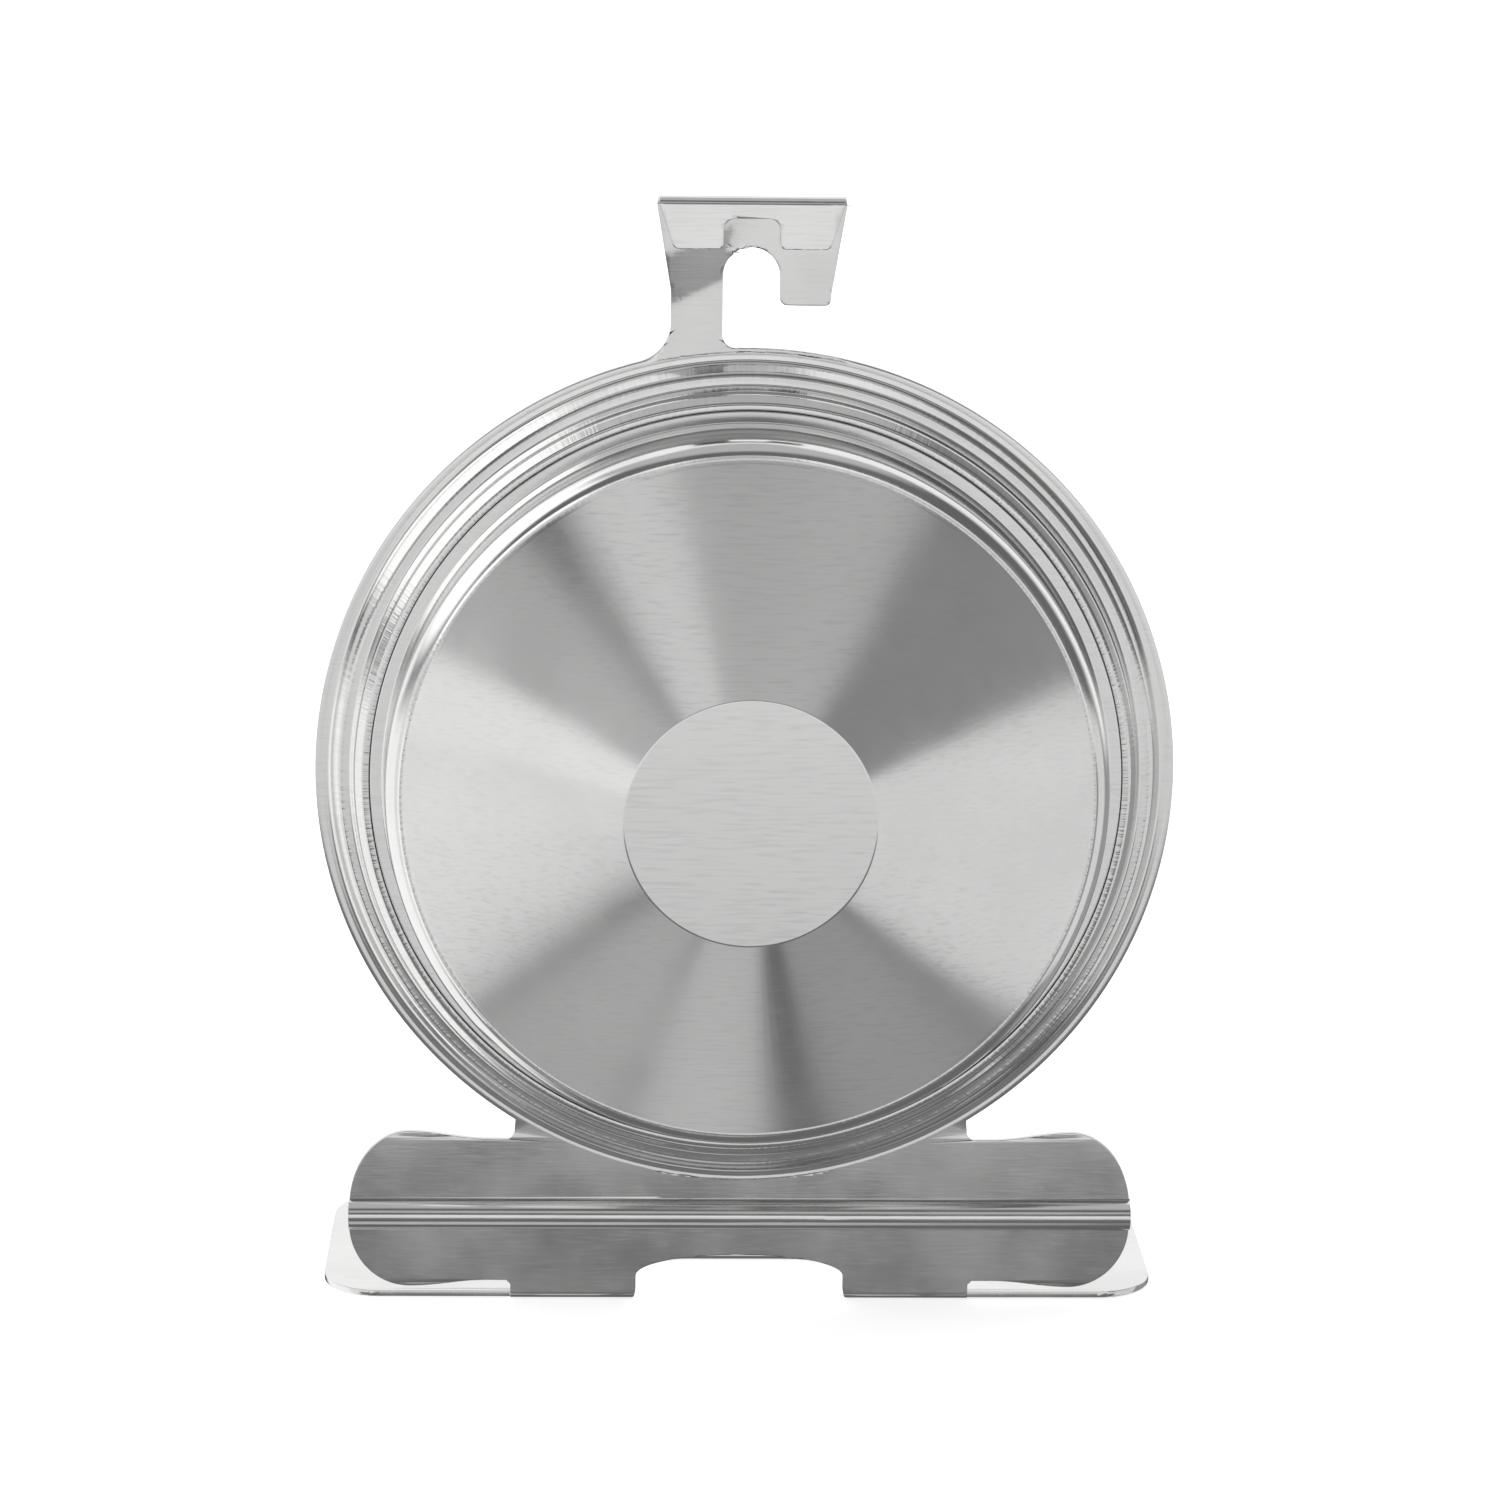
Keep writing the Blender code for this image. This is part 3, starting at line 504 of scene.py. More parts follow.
def make_cup():
    """The drawn cup from its rim under the crimp to the middle of its disc."""
    rim = [(28.75, 2.2), (28.26, 2.2, 0.05), (28.25, 2.93, 0.12), (27.35, 2.9, 0.2)]
    outside = rounded(rim + [(26.97, 3.35, 0.4), (26.95, 6.9)], steps=6, closed=False)
    outside += arc((25.25, 6.95), 1.7, 15, 68, 14)
    crease = [(CONE_RADIUS + 0.2, CONE_DEPTH - 0.17), (CONE_RADIUS + 0.04, CONE_DEPTH + 0.06, 0.03)]
    crease += [(CONE_RADIUS - 0.12, CONE_DEPTH + 0.05, 0.04), (CONE_RADIUS - 0.4, CONE_DEPTH + 0.17, 0.2)]
    disc = [(DISC_RADIUS, DISC_DEPTH, 0.4), (0, DISC_DEPTH)]
    outside += rounded(crease + disc, steps=6, closed=False)
    cup = turned("drawn_cup", wall_section(outside[::-1], CUP_SHEET))
    shade(cup, 30)
    return cup


drawn_cup = make_cup()
print(count_faces(drawn_cup))

# %% [markdown]
# ## The front: bezel, lens and rings
# The bezel is rolled over the glass, and its skirt sits inside the frame plate's ring. All of these
# are turned pieces with broken edges. The lens is a plain disc of glass with a ground edge.

# %% Spin the bezel, the lens and the spacer
bezel_low, bezel_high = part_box("front_bezel")
BEZEL_FRONT = (bezel_low.y - CENTRE.y) / MM
BEZEL_RADIUS = (bezel_high.x - bezel_low.x) / MM / 2
BEZEL_SHEET, BEZEL_SKIRT = 0.4, 28.65


def make_bezel():
    """The skirt inside the collar, a step, the outer wall and the lip rolled over the glass."""
    corners = [(BEZEL_SKIRT, 1.5), (BEZEL_SKIRT, -0.8, 0.12), (BEZEL_RADIUS, -0.8, 0.3)]
    corners += [(BEZEL_RADIUS, BEZEL_FRONT, 1.3), (28.6, BEZEL_FRONT + 0.02, 0.6)]
    corners += [(27.9, BEZEL_FRONT + 0.25)]
    bezel = turned("rolled_bezel", wall_section(rounded(corners, steps=10, closed=False), BEZEL_SHEET))
    soften_edges(bezel, 0.06, sharper_than=60)
    shade(bezel)
    return bezel


def make_disc_ring(name, corners):
    """A turned piece from a closed section with rounded corners."""
    made = turned(name, rounded(corners, steps=4))
    shade(made)
    return made


rolled_bezel = make_bezel()
lens_low, lens_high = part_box("glass_lens")
lens_front, lens_back = ((corner.y - CENTRE.y) / MM for corner in (lens_low, lens_high))
lens_radius = (lens_high.x - lens_low.x) / MM / 2
lens = make_disc_ring(
    "lens", [(0, lens_front), (lens_radius, lens_front, 0.25), (lens_radius, lens_back, 0.25), (0, lens_back)]
)
BROKEN = 0.06  # radius on the spacer's edges
spacer_section = [(26.6, -1.85), (30.5, -1.85), (30.5, -1.35), (28.0, -1.35), (28.0, -0.45), (26.6, -0.45)]
spacer_ring = make_disc_ring("spacer_ring", [(*corner, BROKEN) for corner in spacer_section])
for piece in (rolled_bezel, lens, spacer_ring):
    print(count_faces(piece))

# %% [markdown]
# ## What is printed on the dial
# The scale is ink on a painted plate: a tick every ten degrees, a longer one every fifty, a number
# beside it, and the unit. Each tick starts as a thin plate and is turned about the dial's centre.
# Numbers are text made into a mesh, a hair thicker than the paint that they lie on.

# %% Ticks
FIRST_MARK, LAST_MARK = -135.0, 135.0
FIRST_TEMPERATURE, LAST_TEMPERATURE = 50, 300
INK = 0.03
TICKS_OUTER = 25.6
LONG_TICK, SHORT_TICK = (3.4, 0.55), (1.9, 0.28)  # length and width
INK_DEPTH = (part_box("dial_plate")[0].y - CENTRE.y) / MM - INK / 2


def mark_angle(temperature):
    """Degrees clockwise from the top, as the dial is read."""
    share = (temperature - FIRST_TEMPERATURE) / (LAST_TEMPERATURE - FIRST_TEMPERATURE)
    return FIRST_MARK + (LAST_MARK - FIRST_MARK) * share


def on_dial(radius, angle):
    """A point of the dial's face, from a radius in millimetres and an angle in degrees."""
    turn = math.radians(angle)
    return CENTRE + Vector((radius * math.sin(turn), INK_DEPTH, radius * math.cos(turn))) * MM


def join(name, items):
    """Joins the items into one piece."""
    bpy.ops.object.select_all(action="DESELECT")
    for item in items:
        item.select_set(True)
    bpy.context.view_layer.objects.active = items[0]
    bpy.ops.object.join()
    items[0].name = name
    items[0].data.name = name
    return items[0]


def place_mesh(item):
    """Moves an object's place into its mesh, so that the object itself sits at the origin."""
    only(item)
    bpy.ops.object.transform_apply(location=True, rotation=True, scale=True)


def make_tick(temperature):
    """One printed tick: a thin plate with clipped corners, standing at its temperature."""
    length, width = SHORT_TICK if temperature % 50 else LONG_TICK
    bpy.ops.object.select_all(action="DESELECT")
    bpy.ops.mesh.primitive_cube_add(size=1)
    item = bpy.context.object
    item.scale = (width * MM, INK * MM, length * MM)
    item.rotation_euler = (0, math.radians(mark_angle(temperature)), 0)
    item.location = on_dial(TICKS_OUTER - length / 2, mark_angle(temperature))
    place_mesh(item)
    soften_edges(item, 0.008)
    return item


ticks = join("printed_ticks", [make_tick(t) for t in range(FIRST_TEMPERATURE, LAST_TEMPERATURE + 1, 10)])
ink_front, ink_back = INK_DEPTH - INK / 2, INK_DEPTH + INK / 2
line_inner, line_outer = TICKS_OUTER + 0.15, TICKS_OUTER + 0.4
line_section = [(line_inner, ink_front), (line_outer, ink_front)]
line_section += [(line_outer, ink_back), (line_inner, ink_back)]
scale_line = make_disc_ring("printed_scale_line", line_section)


# %% Numbers
TEXT_SIZE = 4.0
NUMBERS_RADIUS, UNIT_RADIUS = 18.2, 14.5


def make_text(body, place):
    """Printed characters, centred on a place of the dial."""
    bpy.ops.object.select_all(action="DESELECT")
    bpy.ops.object.text_add(location=place, rotation=(math.pi / 2, 0, 0))
    item = bpy.context.object
    item.data.body = body
    item.data.size = TEXT_SIZE * MM
    item.data.align_x = "CENTER"
    item.data.align_y = "CENTER"
    item.data.extrude = INK * MM / 2
    item.data.resolution_u = 8
    bpy.ops.object.convert(target="MESH")
    place_mesh(item)
    return item


numbered = range(FIRST_TEMPERATURE, LAST_TEMPERATURE + 1, 50)
numbers = [make_text(str(t), on_dial(NUMBERS_RADIUS, mark_angle(t))) for t in numbered]
numbers = join("printed_numbers", numbers)
unit_mark = make_text("°C", on_dial(UNIT_RADIUS, 0))
unit_mark.name = "printed_unit"
for piece in (ticks, scale_line, numbers, unit_mark):
    print(count_faces(piece))

# %% [markdown]
# ## Rivets, post, stop pin and pointer
# The small turned pieces that show on the dial are spun again with round heads. The needle is a flat
# blank like the frame plate, cut from an outline and given a bevelled edge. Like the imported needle, it
# points below the scale, to where the dial would read room temperature.


# %% Heads on the dial
RIVET_SHANK = 0.75


def make_headed(name, node, shank, head, thick):
    """A rivet or post with a domed head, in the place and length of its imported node."""
    low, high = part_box(node)
    middle = (low + high) / 2 - CENTRE
    front, back = (low.y - CENTRE.y) / MM, (high.y - CENTRE.y) / MM
    under_head = front + thick
    section = [(0, front), (head, front, min(0.35, head * 0.4)), (head, under_head, 0.05)]
    section += [(shank, under_head, 0.03), (shank, back, 0.08), (0, back)]
    place = (middle.x / MM, middle.z / MM)
    made = turned(name, rounded(section, steps=6), segments=SMALL_SEGMENTS, place=place)
    shade(made)
    return made


rivet_left = make_headed("rivet_left", "bridge_rivet_left", RIVET_SHANK, 1.4, 0.5)
rivet_right = make_headed("rivet_right", "bridge_rivet_right", RIVET_SHANK, 1.4, 0.5)
anchor_post = make_headed("anchor_post", "coil_anchor_post", RIVET_SHANK, 1.3, 0.5)
round_stop_pin = make_headed("round_stop_pin", "stop_pin", 0.4, 0.8, 0.2)

# %% The pointer
needle_low, needle_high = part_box("pointer_needle")
NEEDLE_LENGTH, NEEDLE_TAIL = 22.0, 7.5
ROOM_TEMPERATURE = 20
NEEDLE_TURN = math.radians(mark_angle(ROOM_TEMPERATURE))
EYE_RADIUS = 1.55
HUB_BORE, HUB_NECK, HUB_FLANGE, HUB_FLANGE_THICK = 0.77, 1.5, 2.6, 0.48


def make_needle():
    """The needle's outline is drawn upright, thickened, and turned about the shaft."""
    half = [(0.22, NEEDLE_LENGTH), (0.9, 3.2, 0.8), (1.7, 2.5, 0.8), (2.85, 0, 2.4), (1.7, -2.5, 0.8)]
    half += [(0.9, -3.2, 0.8), (1.5, -NEEDLE_TAIL, 0.3), (0, -NEEDLE_TAIL)]
    outline = mirrored(rounded(half, closed=False)[:-1])
    blank = filled_outline("needle", [outline, arc((0, 0), EYE_RADIUS, 0, 354, 59)])
    place = Vector((CENTRE.x, (needle_low.y + needle_high.y) / 2, CENTRE.z))
    turn = Matrix.Rotation(NEEDLE_TURN, 4, "Y")
    for vertex in blank.data.vertices:
        vertex.co = place + turn @ Vector((vertex.co.x, 0, vertex.co.y))
    thickness = needle_high.y - needle_low.y
    apply_modifier(blank, "SOLIDIFY", thickness=thickness, offset=0)
    soften_edges(blank, 0.05)
    shade(blank)
    return blank


needle = make_needle()
hub_low, hub_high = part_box("pointer_hub")
hub_front, hub_back = ((corner.y - CENTRE.y) / MM for corner in (hub_low, hub_high))
hub_step = hub_back - HUB_FLANGE_THICK
hub_section = [(HUB_BORE, hub_back), (HUB_FLANGE, hub_back, 0.08), (HUB_FLANGE, hub_step, 0.08)]
hub_section += [(HUB_NECK, hub_step, 0.05), (HUB_NECK, hub_front, 0.2), (HUB_BORE, hub_front)]
hub = turned("needle_hub", rounded(hub_section, steps=5), segments=SMALL_SEGMENTS)
shade(hub)
print("needle turned", round(math.degrees(NEEDLE_TURN), 1), "degrees;", count_faces(hub))

# %% [markdown]
# ## Shared effects as node groups
# Rolled sheet has hairlines along the rolling direction, faint blotches from handling, and, near a
# pressed ring, short marks left by the tool that run across the ring. Each effect is one node group
# that gives a varying value, so each metal can mix them at its own strength.


# %% A small kit for node trees
def new_group(name, inputs, outputs):
    """A shader node group with number inputs (name: default) and number outputs."""
    group = bpy.data.node_groups.new(name, "ShaderNodeTree")
    for label, value in inputs.items():
        kind = "NodeSocketVector" if isinstance(value, tuple) else "NodeSocketFloat"
        socket = group.interface.new_socket(label, in_out="INPUT", socket_type=kind)
        socket.default_value = value
    for label in outputs:
        group.interface.new_socket(label, in_out="OUTPUT", socket_type="NodeSocketFloat")
    return group, group.nodes.new("NodeGroupInput"), group.nodes.new("NodeGroupOutput")


def link(tree, source, target):
    tree.links.new(source, target)


def put(tree, kind, links=None, **values):
    """Adds a node, sets its properties, and sets or links its inputs by name or number."""
    node = tree.nodes.new(kind)
    for key, value in values.items():
        setattr(node, key, value)
    for key, value in (links or {}).items():
        if isinstance(value, bpy.types.NodeSocket):
            tree.links.new(value, node.inputs[key])
        else:
            node.inputs[key].default_value = value
    return node


def maths(tree, operation, a, b=0.0, c=0.0):
    """The result of a Math node."""
    node = put(tree, "ShaderNodeMath", {0: a, 1: b, 2: c}, operation=operation)
    return node.outputs[0]


def spread(tree, value, low, high, to_low=0.0, to_high=1.0):
    """A smooth change from one number to another as the value goes from low to high."""
    node = put(
        tree,
        "ShaderNodeMapRange",
        {"Value": value, "From Min": low, "From Max": high, "To Min": to_low, "To Max": to_high},
        interpolation_type="SMOOTHSTEP",
    )
    return node.outputs["Result"]


# %% Hairlines, blotches and ring marks
BAND_EDGE = 0.12 * MM  # a ring's marks fade out over this much at each side


def make_hairlines():
    """Fine scratches along X, turned by an angle about the case axis, with clear stretches between."""
    group, given, out = new_group("hairlines", {"Vector": (0, 0, 0), "Turn": 0.0}, ["Height", "Mask"])
    place, angle = given.outputs["Vector"], given.outputs["Turn"]
    turn = put(group, "ShaderNodeVectorRotate", {"Vector": place, "Angle": angle}, rotation_type="Y_AXIS")
    stretch = put(group, "ShaderNodeMapping", {"Vector": turn.outputs[0], "Scale": (420, 3000, 5200)})
    lines = put(group, "ShaderNodeTexNoise", {"Vector": stretch.outputs[0], "Scale": 1.0, "Detail": 3.0})
    patches = put(group, "ShaderNodeTexNoise", {"Vector": place, "Scale": 160.0, "Detail": 2.0})
    strength = spread(group, patches.outputs["Fac"], 0.3, 0.65, 0.35, 1.0)
    link(group, maths(group, "MULTIPLY", lines.outputs["Fac"], strength), out.inputs["Height"])
    link(group, spread(group, lines.outputs["Fac"], 0.45, 0.75), out.inputs["Mask"])
    return group


def make_blotches():
    """Soft clouds with a finer mottling in them, from 0 to 1."""
    group, given, out = new_group("blotches", {"Vector": (0, 0, 0), "Scale": 90.0}, ["Mask", "Grain"])
    place, size = given.outputs["Vector"], given.outputs["Scale"]
    links = {"Vector": place, "Scale": size, "Detail": 4.0, "Roughness": 0.55}
    cloud = put(group, "ShaderNodeTexNoise", links)
    grain = put(group, "ShaderNodeTexNoise", {"Vector": place, "Scale": 5200.0, "Detail": 2.0})
    link(group, spread(group, cloud.outputs["Fac"], 0.3, 0.7), out.inputs["Mask"])
    link(group, grain.outputs["Fac"], out.inputs["Grain"])
    return group


def make_ring_marks():
    """Short marks across a pressed ring, between two radii: many round the ring, none elsewhere."""
    inputs = {"Vector": (0, 0, 0), "Inner": 0.028, "Outer": 0.03, "Count": 60.0}
    group, given, out = new_group("ring_marks", inputs, ["Height"])
    place = given.outputs["Vector"]
    flat = put(group, "ShaderNodeVectorMath", {0: place, 1: (1, 0, 1)}, operation="MULTIPLY")
    length = put(group, "ShaderNodeVectorMath", {0: flat.outputs[0]}, operation="LENGTH")
    outward = put(group, "ShaderNodeVectorMath", {0: flat.outputs[0]}, operation="NORMALIZE")
    radius = length.outputs["Value"]
    links = {"Vector": outward.outputs[0], "Scale": given.outputs["Count"], "Detail": 2.0}
    marks = put(group, "ShaderNodeTexNoise", links)
    inside = spread(group, maths(group, "SUBTRACT", radius, given.outputs["Inner"]), -BAND_EDGE, BAND_EDGE)
    outside = spread(group, maths(group, "SUBTRACT", given.outputs["Outer"], radius), -BAND_EDGE, BAND_EDGE)
    deep = spread(group, marks.outputs["Fac"], 0.35, 0.65)
    height = maths(group, "MULTIPLY", deep, maths(group, "MULTIPLY", inside, outside))
    link(group, height, out.inputs["Height"])
    return group


HAIRLINES, BLOTCHES, RING_MARKS = make_hairlines(), make_blotches(), make_ring_marks()
print("node groups:", [group.name for group in bpy.data.node_groups])

# %% [markdown]
# ## Metals
# Every metal is a Principled shader with its own constant metalness. The colour drifts slightly, the
# roughness rises in blotches and along hairlines, and a Bump node takes the fine marks. The pattern
# is read from Object coordinates with its middle moved to the dial's centre.


# %% One recipe for every metal
def use_group(tree, group, links):
    return put(tree, "ShaderNodeGroup", links, node_tree=group)


def new_material(name):
    """A material with a Principled shader and coordinates measured from the dial's centre."""
    made = bpy.data.materials.new(name)
    made.use_nodes = True
    tree = made.node_tree
    coordinates = put(tree, "ShaderNodeTexCoord")
    centred = put(tree, "ShaderNodeMapping", {"Vector": coordinates.outputs["Object"], "Location": -CENTRE})
    return made, tree, tree.nodes["Principled BSDF"], centred.outputs[0]


def tint(tree, value, low_colour, high_colour):
    """A colour that goes from one to the other with the value."""
    mix = put(tree, "ShaderNodeMix", {"Factor": value}, data_type="RGBA")
    colours = [socket for socket in mix.inputs if socket.type == "RGBA"]
    colours[0].default_value = (*low_colour, 1)
    colours[1].default_value = (*high_colour, 1)
    return [socket for socket in mix.outputs if socket.type == "RGBA"][0]


RUBBED_TURN = 0.75  # handling scratches lie at this angle to the rolling marks
MARK_DEPTH = 0.01 * MM
HAIR_SHADE, RING_SHADE = -0.3, -0.5  # scratched places take more of the dull colour
HAIR_ROUGHNESS = 0.04
GRAIN_SHARE = 0.5


def metal(name, dull, bright, rough, scratch, turn=0.0, waviness=0.02, marks=()):
    """A sheet metal with hairlines, blotches and, where rings are given, the marks of the press tool."""
    made, tree, shader, place = new_material(name)
    hair = use_group(tree, HAIRLINES, {"Vector": place, "Turn": turn})
    rubbed = use_group(tree, HAIRLINES, {"Vector": place, "Turn": turn + RUBBED_TURN})
    cloud = use_group(tree, BLOTCHES, {"Vector": place, "Scale": 90.0})
    shader.inputs["Metallic"].default_value = 1.0
    shade_value = maths(tree, "MULTIPLY_ADD", hair.outputs["Mask"], HAIR_SHADE, cloud.outputs["Mask"])
    height = maths(tree, "MULTIPLY_ADD", cloud.outputs["Grain"], GRAIN_SHARE, hair.outputs["Height"])
    height = maths(tree, "MULTIPLY_ADD", rubbed.outputs["Height"], cloud.outputs["Mask"], height)
    roughness = maths(tree, "MULTIPLY_ADD", cloud.outputs["Mask"], rough[1] - rough[0], rough[0])
    roughness = maths(tree, "MULTIPLY_ADD", hair.outputs["Mask"], HAIR_ROUGHNESS, roughness)
    for inner, outer, count, strength in marks:
        links = {"Vector": place, "Inner": inner * MM, "Outer": outer * MM, "Count": count}
        ring = use_group(tree, RING_MARKS, links)
        height = maths(tree, "MULTIPLY_ADD", ring.outputs["Height"], strength, height)
        shade_value = maths(tree, "MULTIPLY_ADD", ring.outputs["Height"], RING_SHADE, shade_value)
    link(tree, tint(tree, shade_value, dull, bright), shader.inputs["Base Color"])
    link(tree, roughness, shader.inputs["Roughness"])
    swell = put(tree, "ShaderNodeTexNoise", {"Vector": place, "Scale": 120.0, "Detail": 1.0})
    wave = put(tree, "ShaderNodeBump", {"Height": swell.outputs["Fac"], "Distance": waviness * MM})
    wave.inputs["Strength"].default_value = 1.0
    bump = put(tree, "ShaderNodeBump", {"Height": height, "Strength": scratch, "Distance": MARK_DEPTH})
    link(tree, wave.outputs["Normal"], bump.inputs["Normal"])
    link(tree, bump.outputs["Normal"], shader.inputs["Normal"])
    return made


# %% The metals of this thermometer
STAND_STEEL = metal(
    "stand_steel", (0.66, 0.66, 0.655), (0.73, 0.73, 0.725), (0.1, 0.17), scratch=0.12, waviness=0.03,
    marks=[(28.3, 29.7, 110.0, 5.0), (30.3, 31.3, 90.0, 3.0)],
)
CUP_STEEL = metal(
    "cup_steel", (0.68, 0.68, 0.675), (0.75, 0.75, 0.745), (0.11, 0.17), scratch=0.09, waviness=0.012,
    marks=[(25.55, 25.95, 90.0, 5.0)],
)
BEZEL_STEEL = metal("bezel_steel", (0.68, 0.68, 0.67), (0.76, 0.76, 0.75), (0.1, 0.16), 0.12, turn=1.2)
DULL_ALUMINIUM = metal("dull_aluminium", (0.7, 0.7, 0.71), (0.8, 0.8, 0.81), (0.32, 0.42), 0.3, turn=0.7)
SPRING_STEEL = metal("spring_steel", (0.22, 0.22, 0.24), (0.34, 0.33, 0.33), (0.3, 0.4), 0.3)
BRASS = metal("turned_brass", (0.66, 0.48, 0.22), (0.8, 0.62, 0.32), (0.2, 0.3), 0.2, turn=1.57)
COIL_METAL = metal("bimetal_strip", (0.42, 0.36, 0.3), (0.6, 0.55, 0.48), (0.25, 0.35), 0.2)


# %% [markdown]
# ## Paint, ink and glass
# The dial is sprayed: a matt off-white with the faint skin of paint. Ink and needle lacquer are a
# little glossier. The lens is clear glass with the faintest haze, so that its face isn't perfect.


# %% Paint, ink and glass
SKIN_DEPTH = 0.02 * MM


def paint(name, low_colour, high_colour, rough):
    """A sprayed or printed coat with a fine skin."""
    made, tree, shader, place = new_material(name)
    cloud = use_group(tree, BLOTCHES, {"Vector": place, "Scale": 60.0})
    skin = put(tree, "ShaderNodeTexNoise", {"Vector": place, "Scale": 2400.0, "Detail": 2.0})
    link(tree, tint(tree, cloud.outputs["Mask"], low_colour, high_colour), shader.inputs["Base Color"])
    link(tree, maths(tree, "MULTIPLY_ADD", cloud.outputs["Mask"], 0.08, rough), shader.inputs["Roughness"])
    links = {"Height": skin.outputs["Fac"], "Strength": 0.12, "Distance": SKIN_DEPTH}
    bump = put(tree, "ShaderNodeBump", links)
    link(tree, bump.outputs["Normal"], shader.inputs["Normal"])
    return made


def clear_glass():
    made, tree, shader, place = new_material("lens_glass")
    cloud = use_group(tree, BLOTCHES, {"Vector": place, "Scale": 70.0})
    shader.inputs["Base Color"].default_value = (0.98, 1.0, 0.99, 1)
    shader.inputs["Transmission Weight"].default_value = 1.0
    shader.inputs["IOR"].default_value = 1.47
    link(tree, maths(tree, "MULTIPLY", cloud.outputs["Mask"], 0.02), shader.inputs["Roughness"])
    return made


DIAL_PAINT = paint("dial_paint", (0.87, 0.87, 0.85), (0.92, 0.92, 0.9), 0.45)
INK_BLACK = paint("printing_ink", (0.012, 0.012, 0.013), (0.02, 0.02, 0.021), 0.35)
NEEDLE_PAINT = paint("needle_lacquer", (0.55, 0.03, 0.02), (0.62, 0.045, 0.03), 0.28)
LENS_GLASS = clear_glass()
print("materials:", len(bpy.data.materials))

# %% [markdown]
# ## Put each finish on its piece and let it ride
# A new piece takes the place of its imported node, which is hidden, and rides on the body that
# carries it. Imported nodes that keep their shape only get the finish.

# %% Pieces that stand for a imported node
NEW_PIECES = [
    (stand_sheet, STAND_STEEL, "stand_sheet", "frame_plate", "case"),
    (drawn_cup, CUP_STEEL, "cup_sheet", "back_cup", "case"),
    (rolled_bezel, BEZEL_STEEL, "bezel", "front_bezel", "case"),
    (lens, LENS_GLASS, "lens", "glass_lens", "case"),
    (spacer_ring, DULL_ALUMINIUM, "spacer", "lens_spacer_ring", "case"),
    (rivet_left, DULL_ALUMINIUM, "rivet", "bridge_rivet_left", "case"),
    (rivet_right, DULL_ALUMINIUM, "rivet", "bridge_rivet_right", "case"),
    (anchor_post, SPRING_STEEL, "movement_steel", "coil_anchor_post", "case"),
    (round_stop_pin, BRASS, "bush", "stop_pin", "case"),
    (needle, NEEDLE_PAINT, "needle", "pointer_needle", "pointer"),
    (hub, BRASS, "bush", "pointer_hub", "pointer"),
]


def finish_with(item, look):
    item.data.materials.clear()
    item.data.materials.append(look)


for piece, look, slot, node, body in NEW_PIECES:
    finish_with(piece, look)
    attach(piece, body)
    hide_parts(node)

# %% Print on the dial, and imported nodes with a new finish
for piece in (ticks, scale_line, numbers, unit_mark):
    finish_with(piece, INK_BLACK)
    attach(piece, "case")

KEPT_NODES = {
    "dial_plate": DIAL_PAINT,
    "dial_support_ring": DULL_ALUMINIUM,
    "rear_bridge": SPRING_STEEL,
    "front_bush": BRASS,
    "rear_bush": BRASS,
    "coil_collet": BRASS,
    "bimetal_coil": COIL_METAL,
    "pointer_shaft": SPRING_STEEL,
}
for name, look in KEPT_NODES.items():
    finish_with(frame["nodes"][name], look)
print(len(NEW_PIECES), "new pieces and", len(KEPT_NODES), "packed nodes finished")

# %% [markdown]
# ## Floor, camera and light
# Smooth metal shows its surroundings, so the studio is a set of soft panels round the object: a bright
# band at the height of the eye, dimmer panels over and under it, a pale ceiling, and a bright wall that
# the dial faces. The floor is plain and pale. Rays from the camera see only white round the object.

# %% The floor
FLOOR_SIZE = 6.0
FLOOR_DROP = 0.05 * MM  # keeps the floor clear of the foot's underside
bpy.ops.object.select_all(action="DESELECT")
bpy.ops.mesh.primitive_plane_add(size=FLOOR_SIZE, location=(0, 0, -FLOOR_DROP))
floor = leave_edit("floor")
floor_look = bpy.data.materials.new("pale_floor")
floor_look.use_nodes = True
floor_shader = floor_look.node_tree.nodes["Principled BSDF"]
floor_shader.inputs["Base Color"].default_value = (0.9, 0.9, 0.9, 1)
floor_shader.inputs["Roughness"].default_value = 0.9
floor_shader.inputs["Specular IOR Level"].default_value = 0.1
floor_shader.inputs["Emission Color"].default_value = (1, 1, 1, 1)
floor_shader.inputs["Emission Strength"].default_value = 0.62
finish_with(floor, floor_look)
floor.visible_glossy = False

# %% The camera
AZIMUTH, ELEVATION, LEAN = math.radians(178.323), math.radians(13.644), math.radians(0.70)
DISTANCE = 0.350
level_part = math.cos(ELEVATION)
out_to_camera = Vector((math.sin(AZIMUTH) * level_part, -math.cos(AZIMUTH) * level_part, math.sin(ELEVATION)))
bpy.ops.object.camera_add(location=CENTRE + out_to_camera * DISTANCE)
camera = bpy.context.object
camera.rotation_mode = "QUATERNION"
aim = (-out_to_camera).to_track_quat("-Z", "Y")
camera.rotation_quaternion = aim @ Matrix.Rotation(LEAN, 3, "Z").to_quaternion()
camera.data.lens = 110.97
camera.data.sensor_width = 36.0
camera.data.shift_x = 0.0031
camera.data.shift_y = 0.0163
camera.data.clip_start = 0.01
bpy.context.scene.camera = camera


# %% The studio: each panel is a mask on the directions round the object
def panel(tree, azimuth, elevation, middle, half, soft):
    """A mask for a soft-edged panel: its middle and half sizes as (azimuth, elevation) in degrees."""
    masks = []
    for value, at, reach, edge in zip((azimuth, elevation), middle, half, soft):
        off = maths(tree, "ABSOLUTE", maths(tree, "SUBTRACT", value, at))
        masks.append(spread(tree, off, reach + edge, reach - edge))
    return maths(tree, "MULTIPLY", *masks)


BACK_LEVEL = 0.17
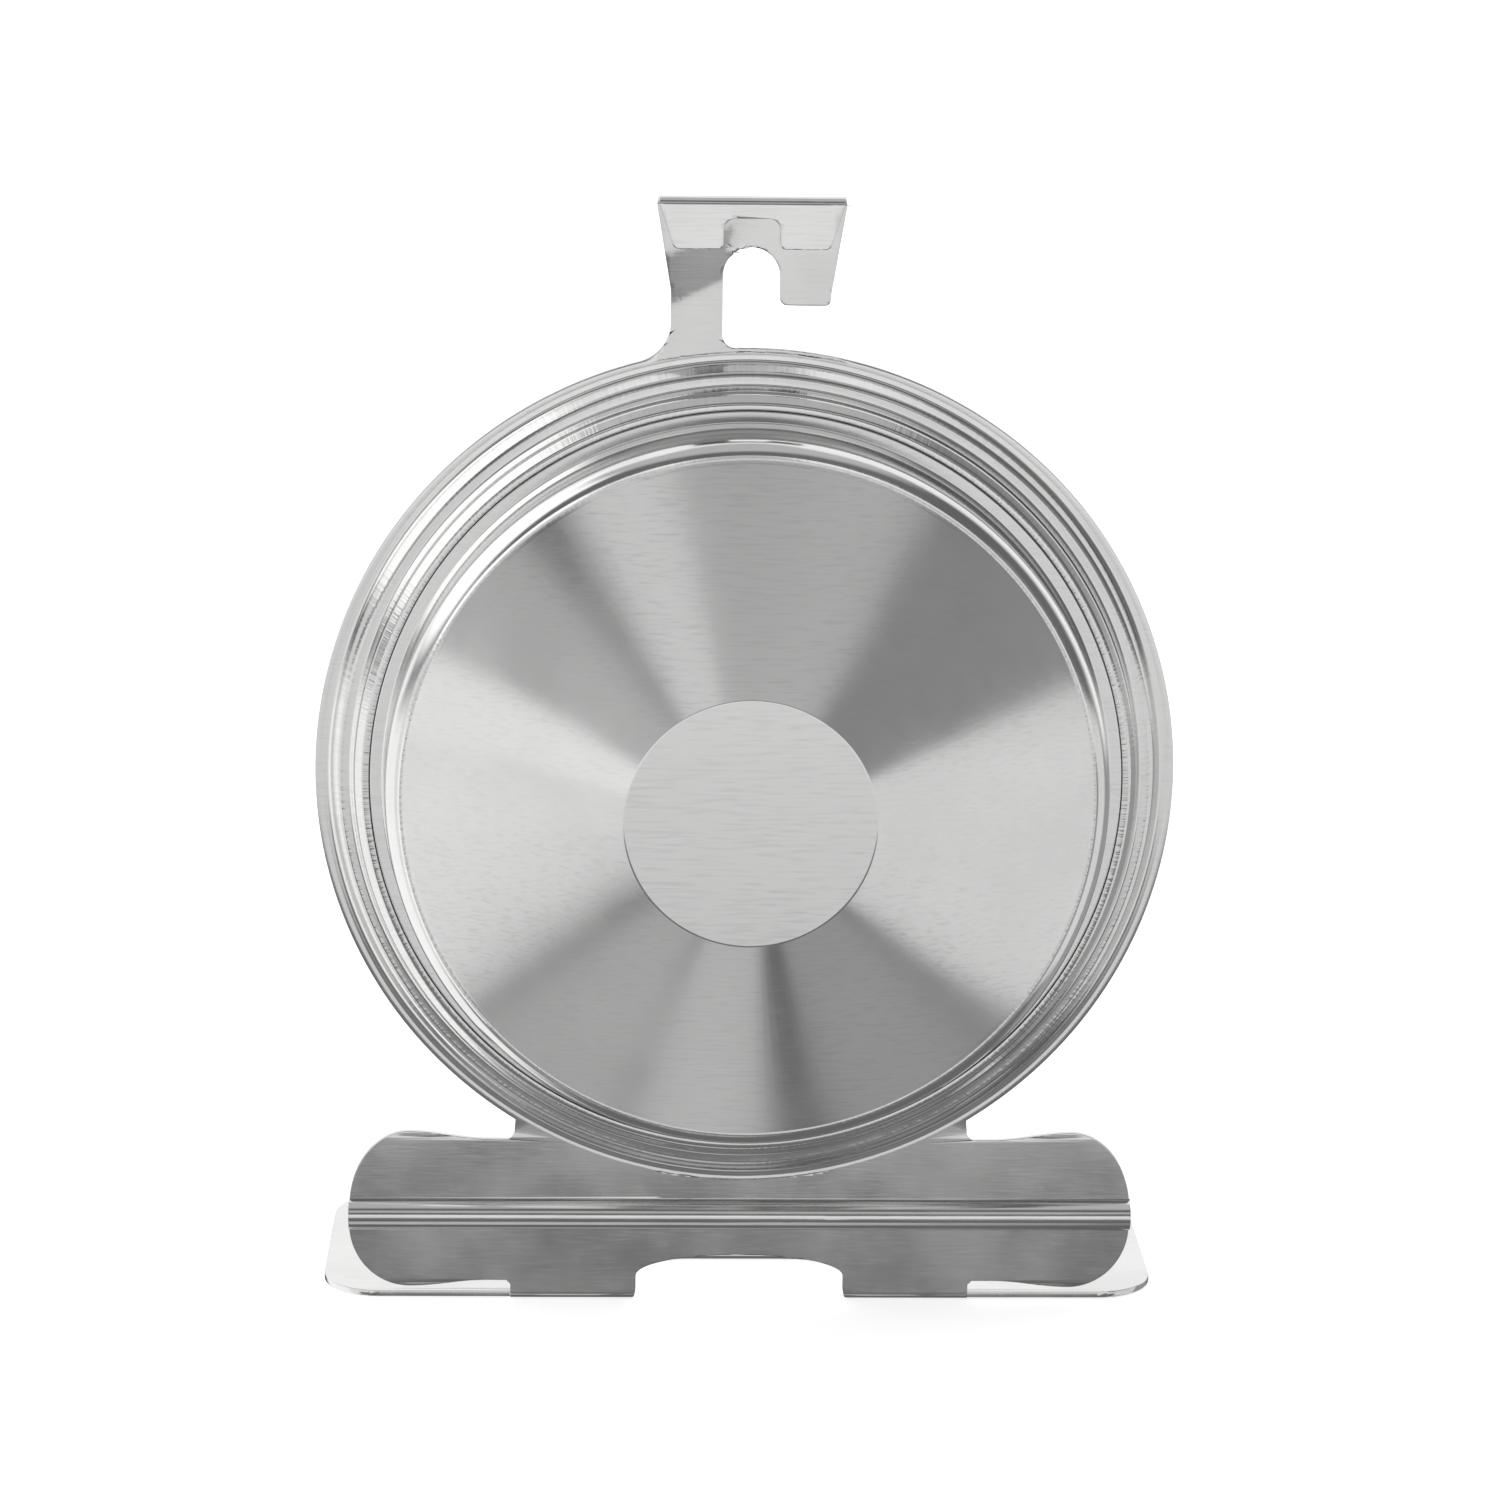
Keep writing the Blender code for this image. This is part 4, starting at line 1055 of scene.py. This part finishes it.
# (middle, half size, softness, brightness), with azimuth from +Y towards +X and elevation upwards.
PANELS = [
    ((0, -8.2), (60, 9.2), (6, 0.5), 0.87),
    ((12, 0), (47, 7), (10, 3), 1.05),
    ((0, -26), (40, 9), (8, 3), 0.22),
    ((-68, -20), (26, 22), (1.5, 2.5), 0.87),
    ((-115, -20), (30, 30), (8, 6), 0.4),
    ((66, -20), (24, 23), (3, 5), 1.02),
    ((100, -30), (40, 34), (8, 8), 1.25),
    ((95, 36), (46, 24), (7, 7), 1.5),
    ((6, -60), (17, 14), (6, 5), 0.62),
    ((36, -52), (15, 13), (6, 7), 0.52),
    ((-33, -52), (14, 11), (4, 5), 0.4),
    ((34, 14), (18, 8), (5, 3), 0.55),
    ((-38, 13), (16, 14), (4, 4), 0.3),
    ((17, 27), (9, 8), (3, 2), 0.8),
    ((-8, 28), (22, 9), (5, 3), 0.56),
    ((0, 75), (180, 20), (1, 9), 0.6),
    ((180, 35), (80, 43), (20, 6), 1.15),
    ((-180, 35), (80, 43), (20, 6), 1.15),
]


def make_studio():
    """A world that is white to the camera and shows the panels to everything else."""
    world = bpy.data.worlds.new("studio")
    bpy.context.scene.world = world
    world.use_nodes = True
    tree = world.node_tree
    place = put(tree, "ShaderNodeTexCoord")
    parts = put(tree, "ShaderNodeSeparateXYZ", {0: place.outputs["Generated"]})
    azimuth = maths(tree, "DEGREES", maths(tree, "ARCTAN2", parts.outputs["X"], parts.outputs["Y"]))
    elevation = maths(tree, "DEGREES", maths(tree, "ARCSINE", parts.outputs["Z"]))
    level = None
    for middle, half, soft, brightness in PANELS:
        mask = maths(tree, "MULTIPLY", panel(tree, azimuth, elevation, middle, half, soft), brightness)
        level = mask if level is None else maths(tree, "MAXIMUM", level, mask)
    level = maths(tree, "MAXIMUM", level, BACK_LEVEL)
    path = put(tree, "ShaderNodeLightPath")
    shown = maths(tree, "MAXIMUM", level, path.outputs["Is Camera Ray"])
    link(tree, shown, tree.nodes["Background"].inputs["Strength"])
    tree.nodes["Background"].inputs["Color"].default_value = (1, 1, 1, 1)


make_studio()
bpy.context.scene.view_settings.view_transform = "Standard"
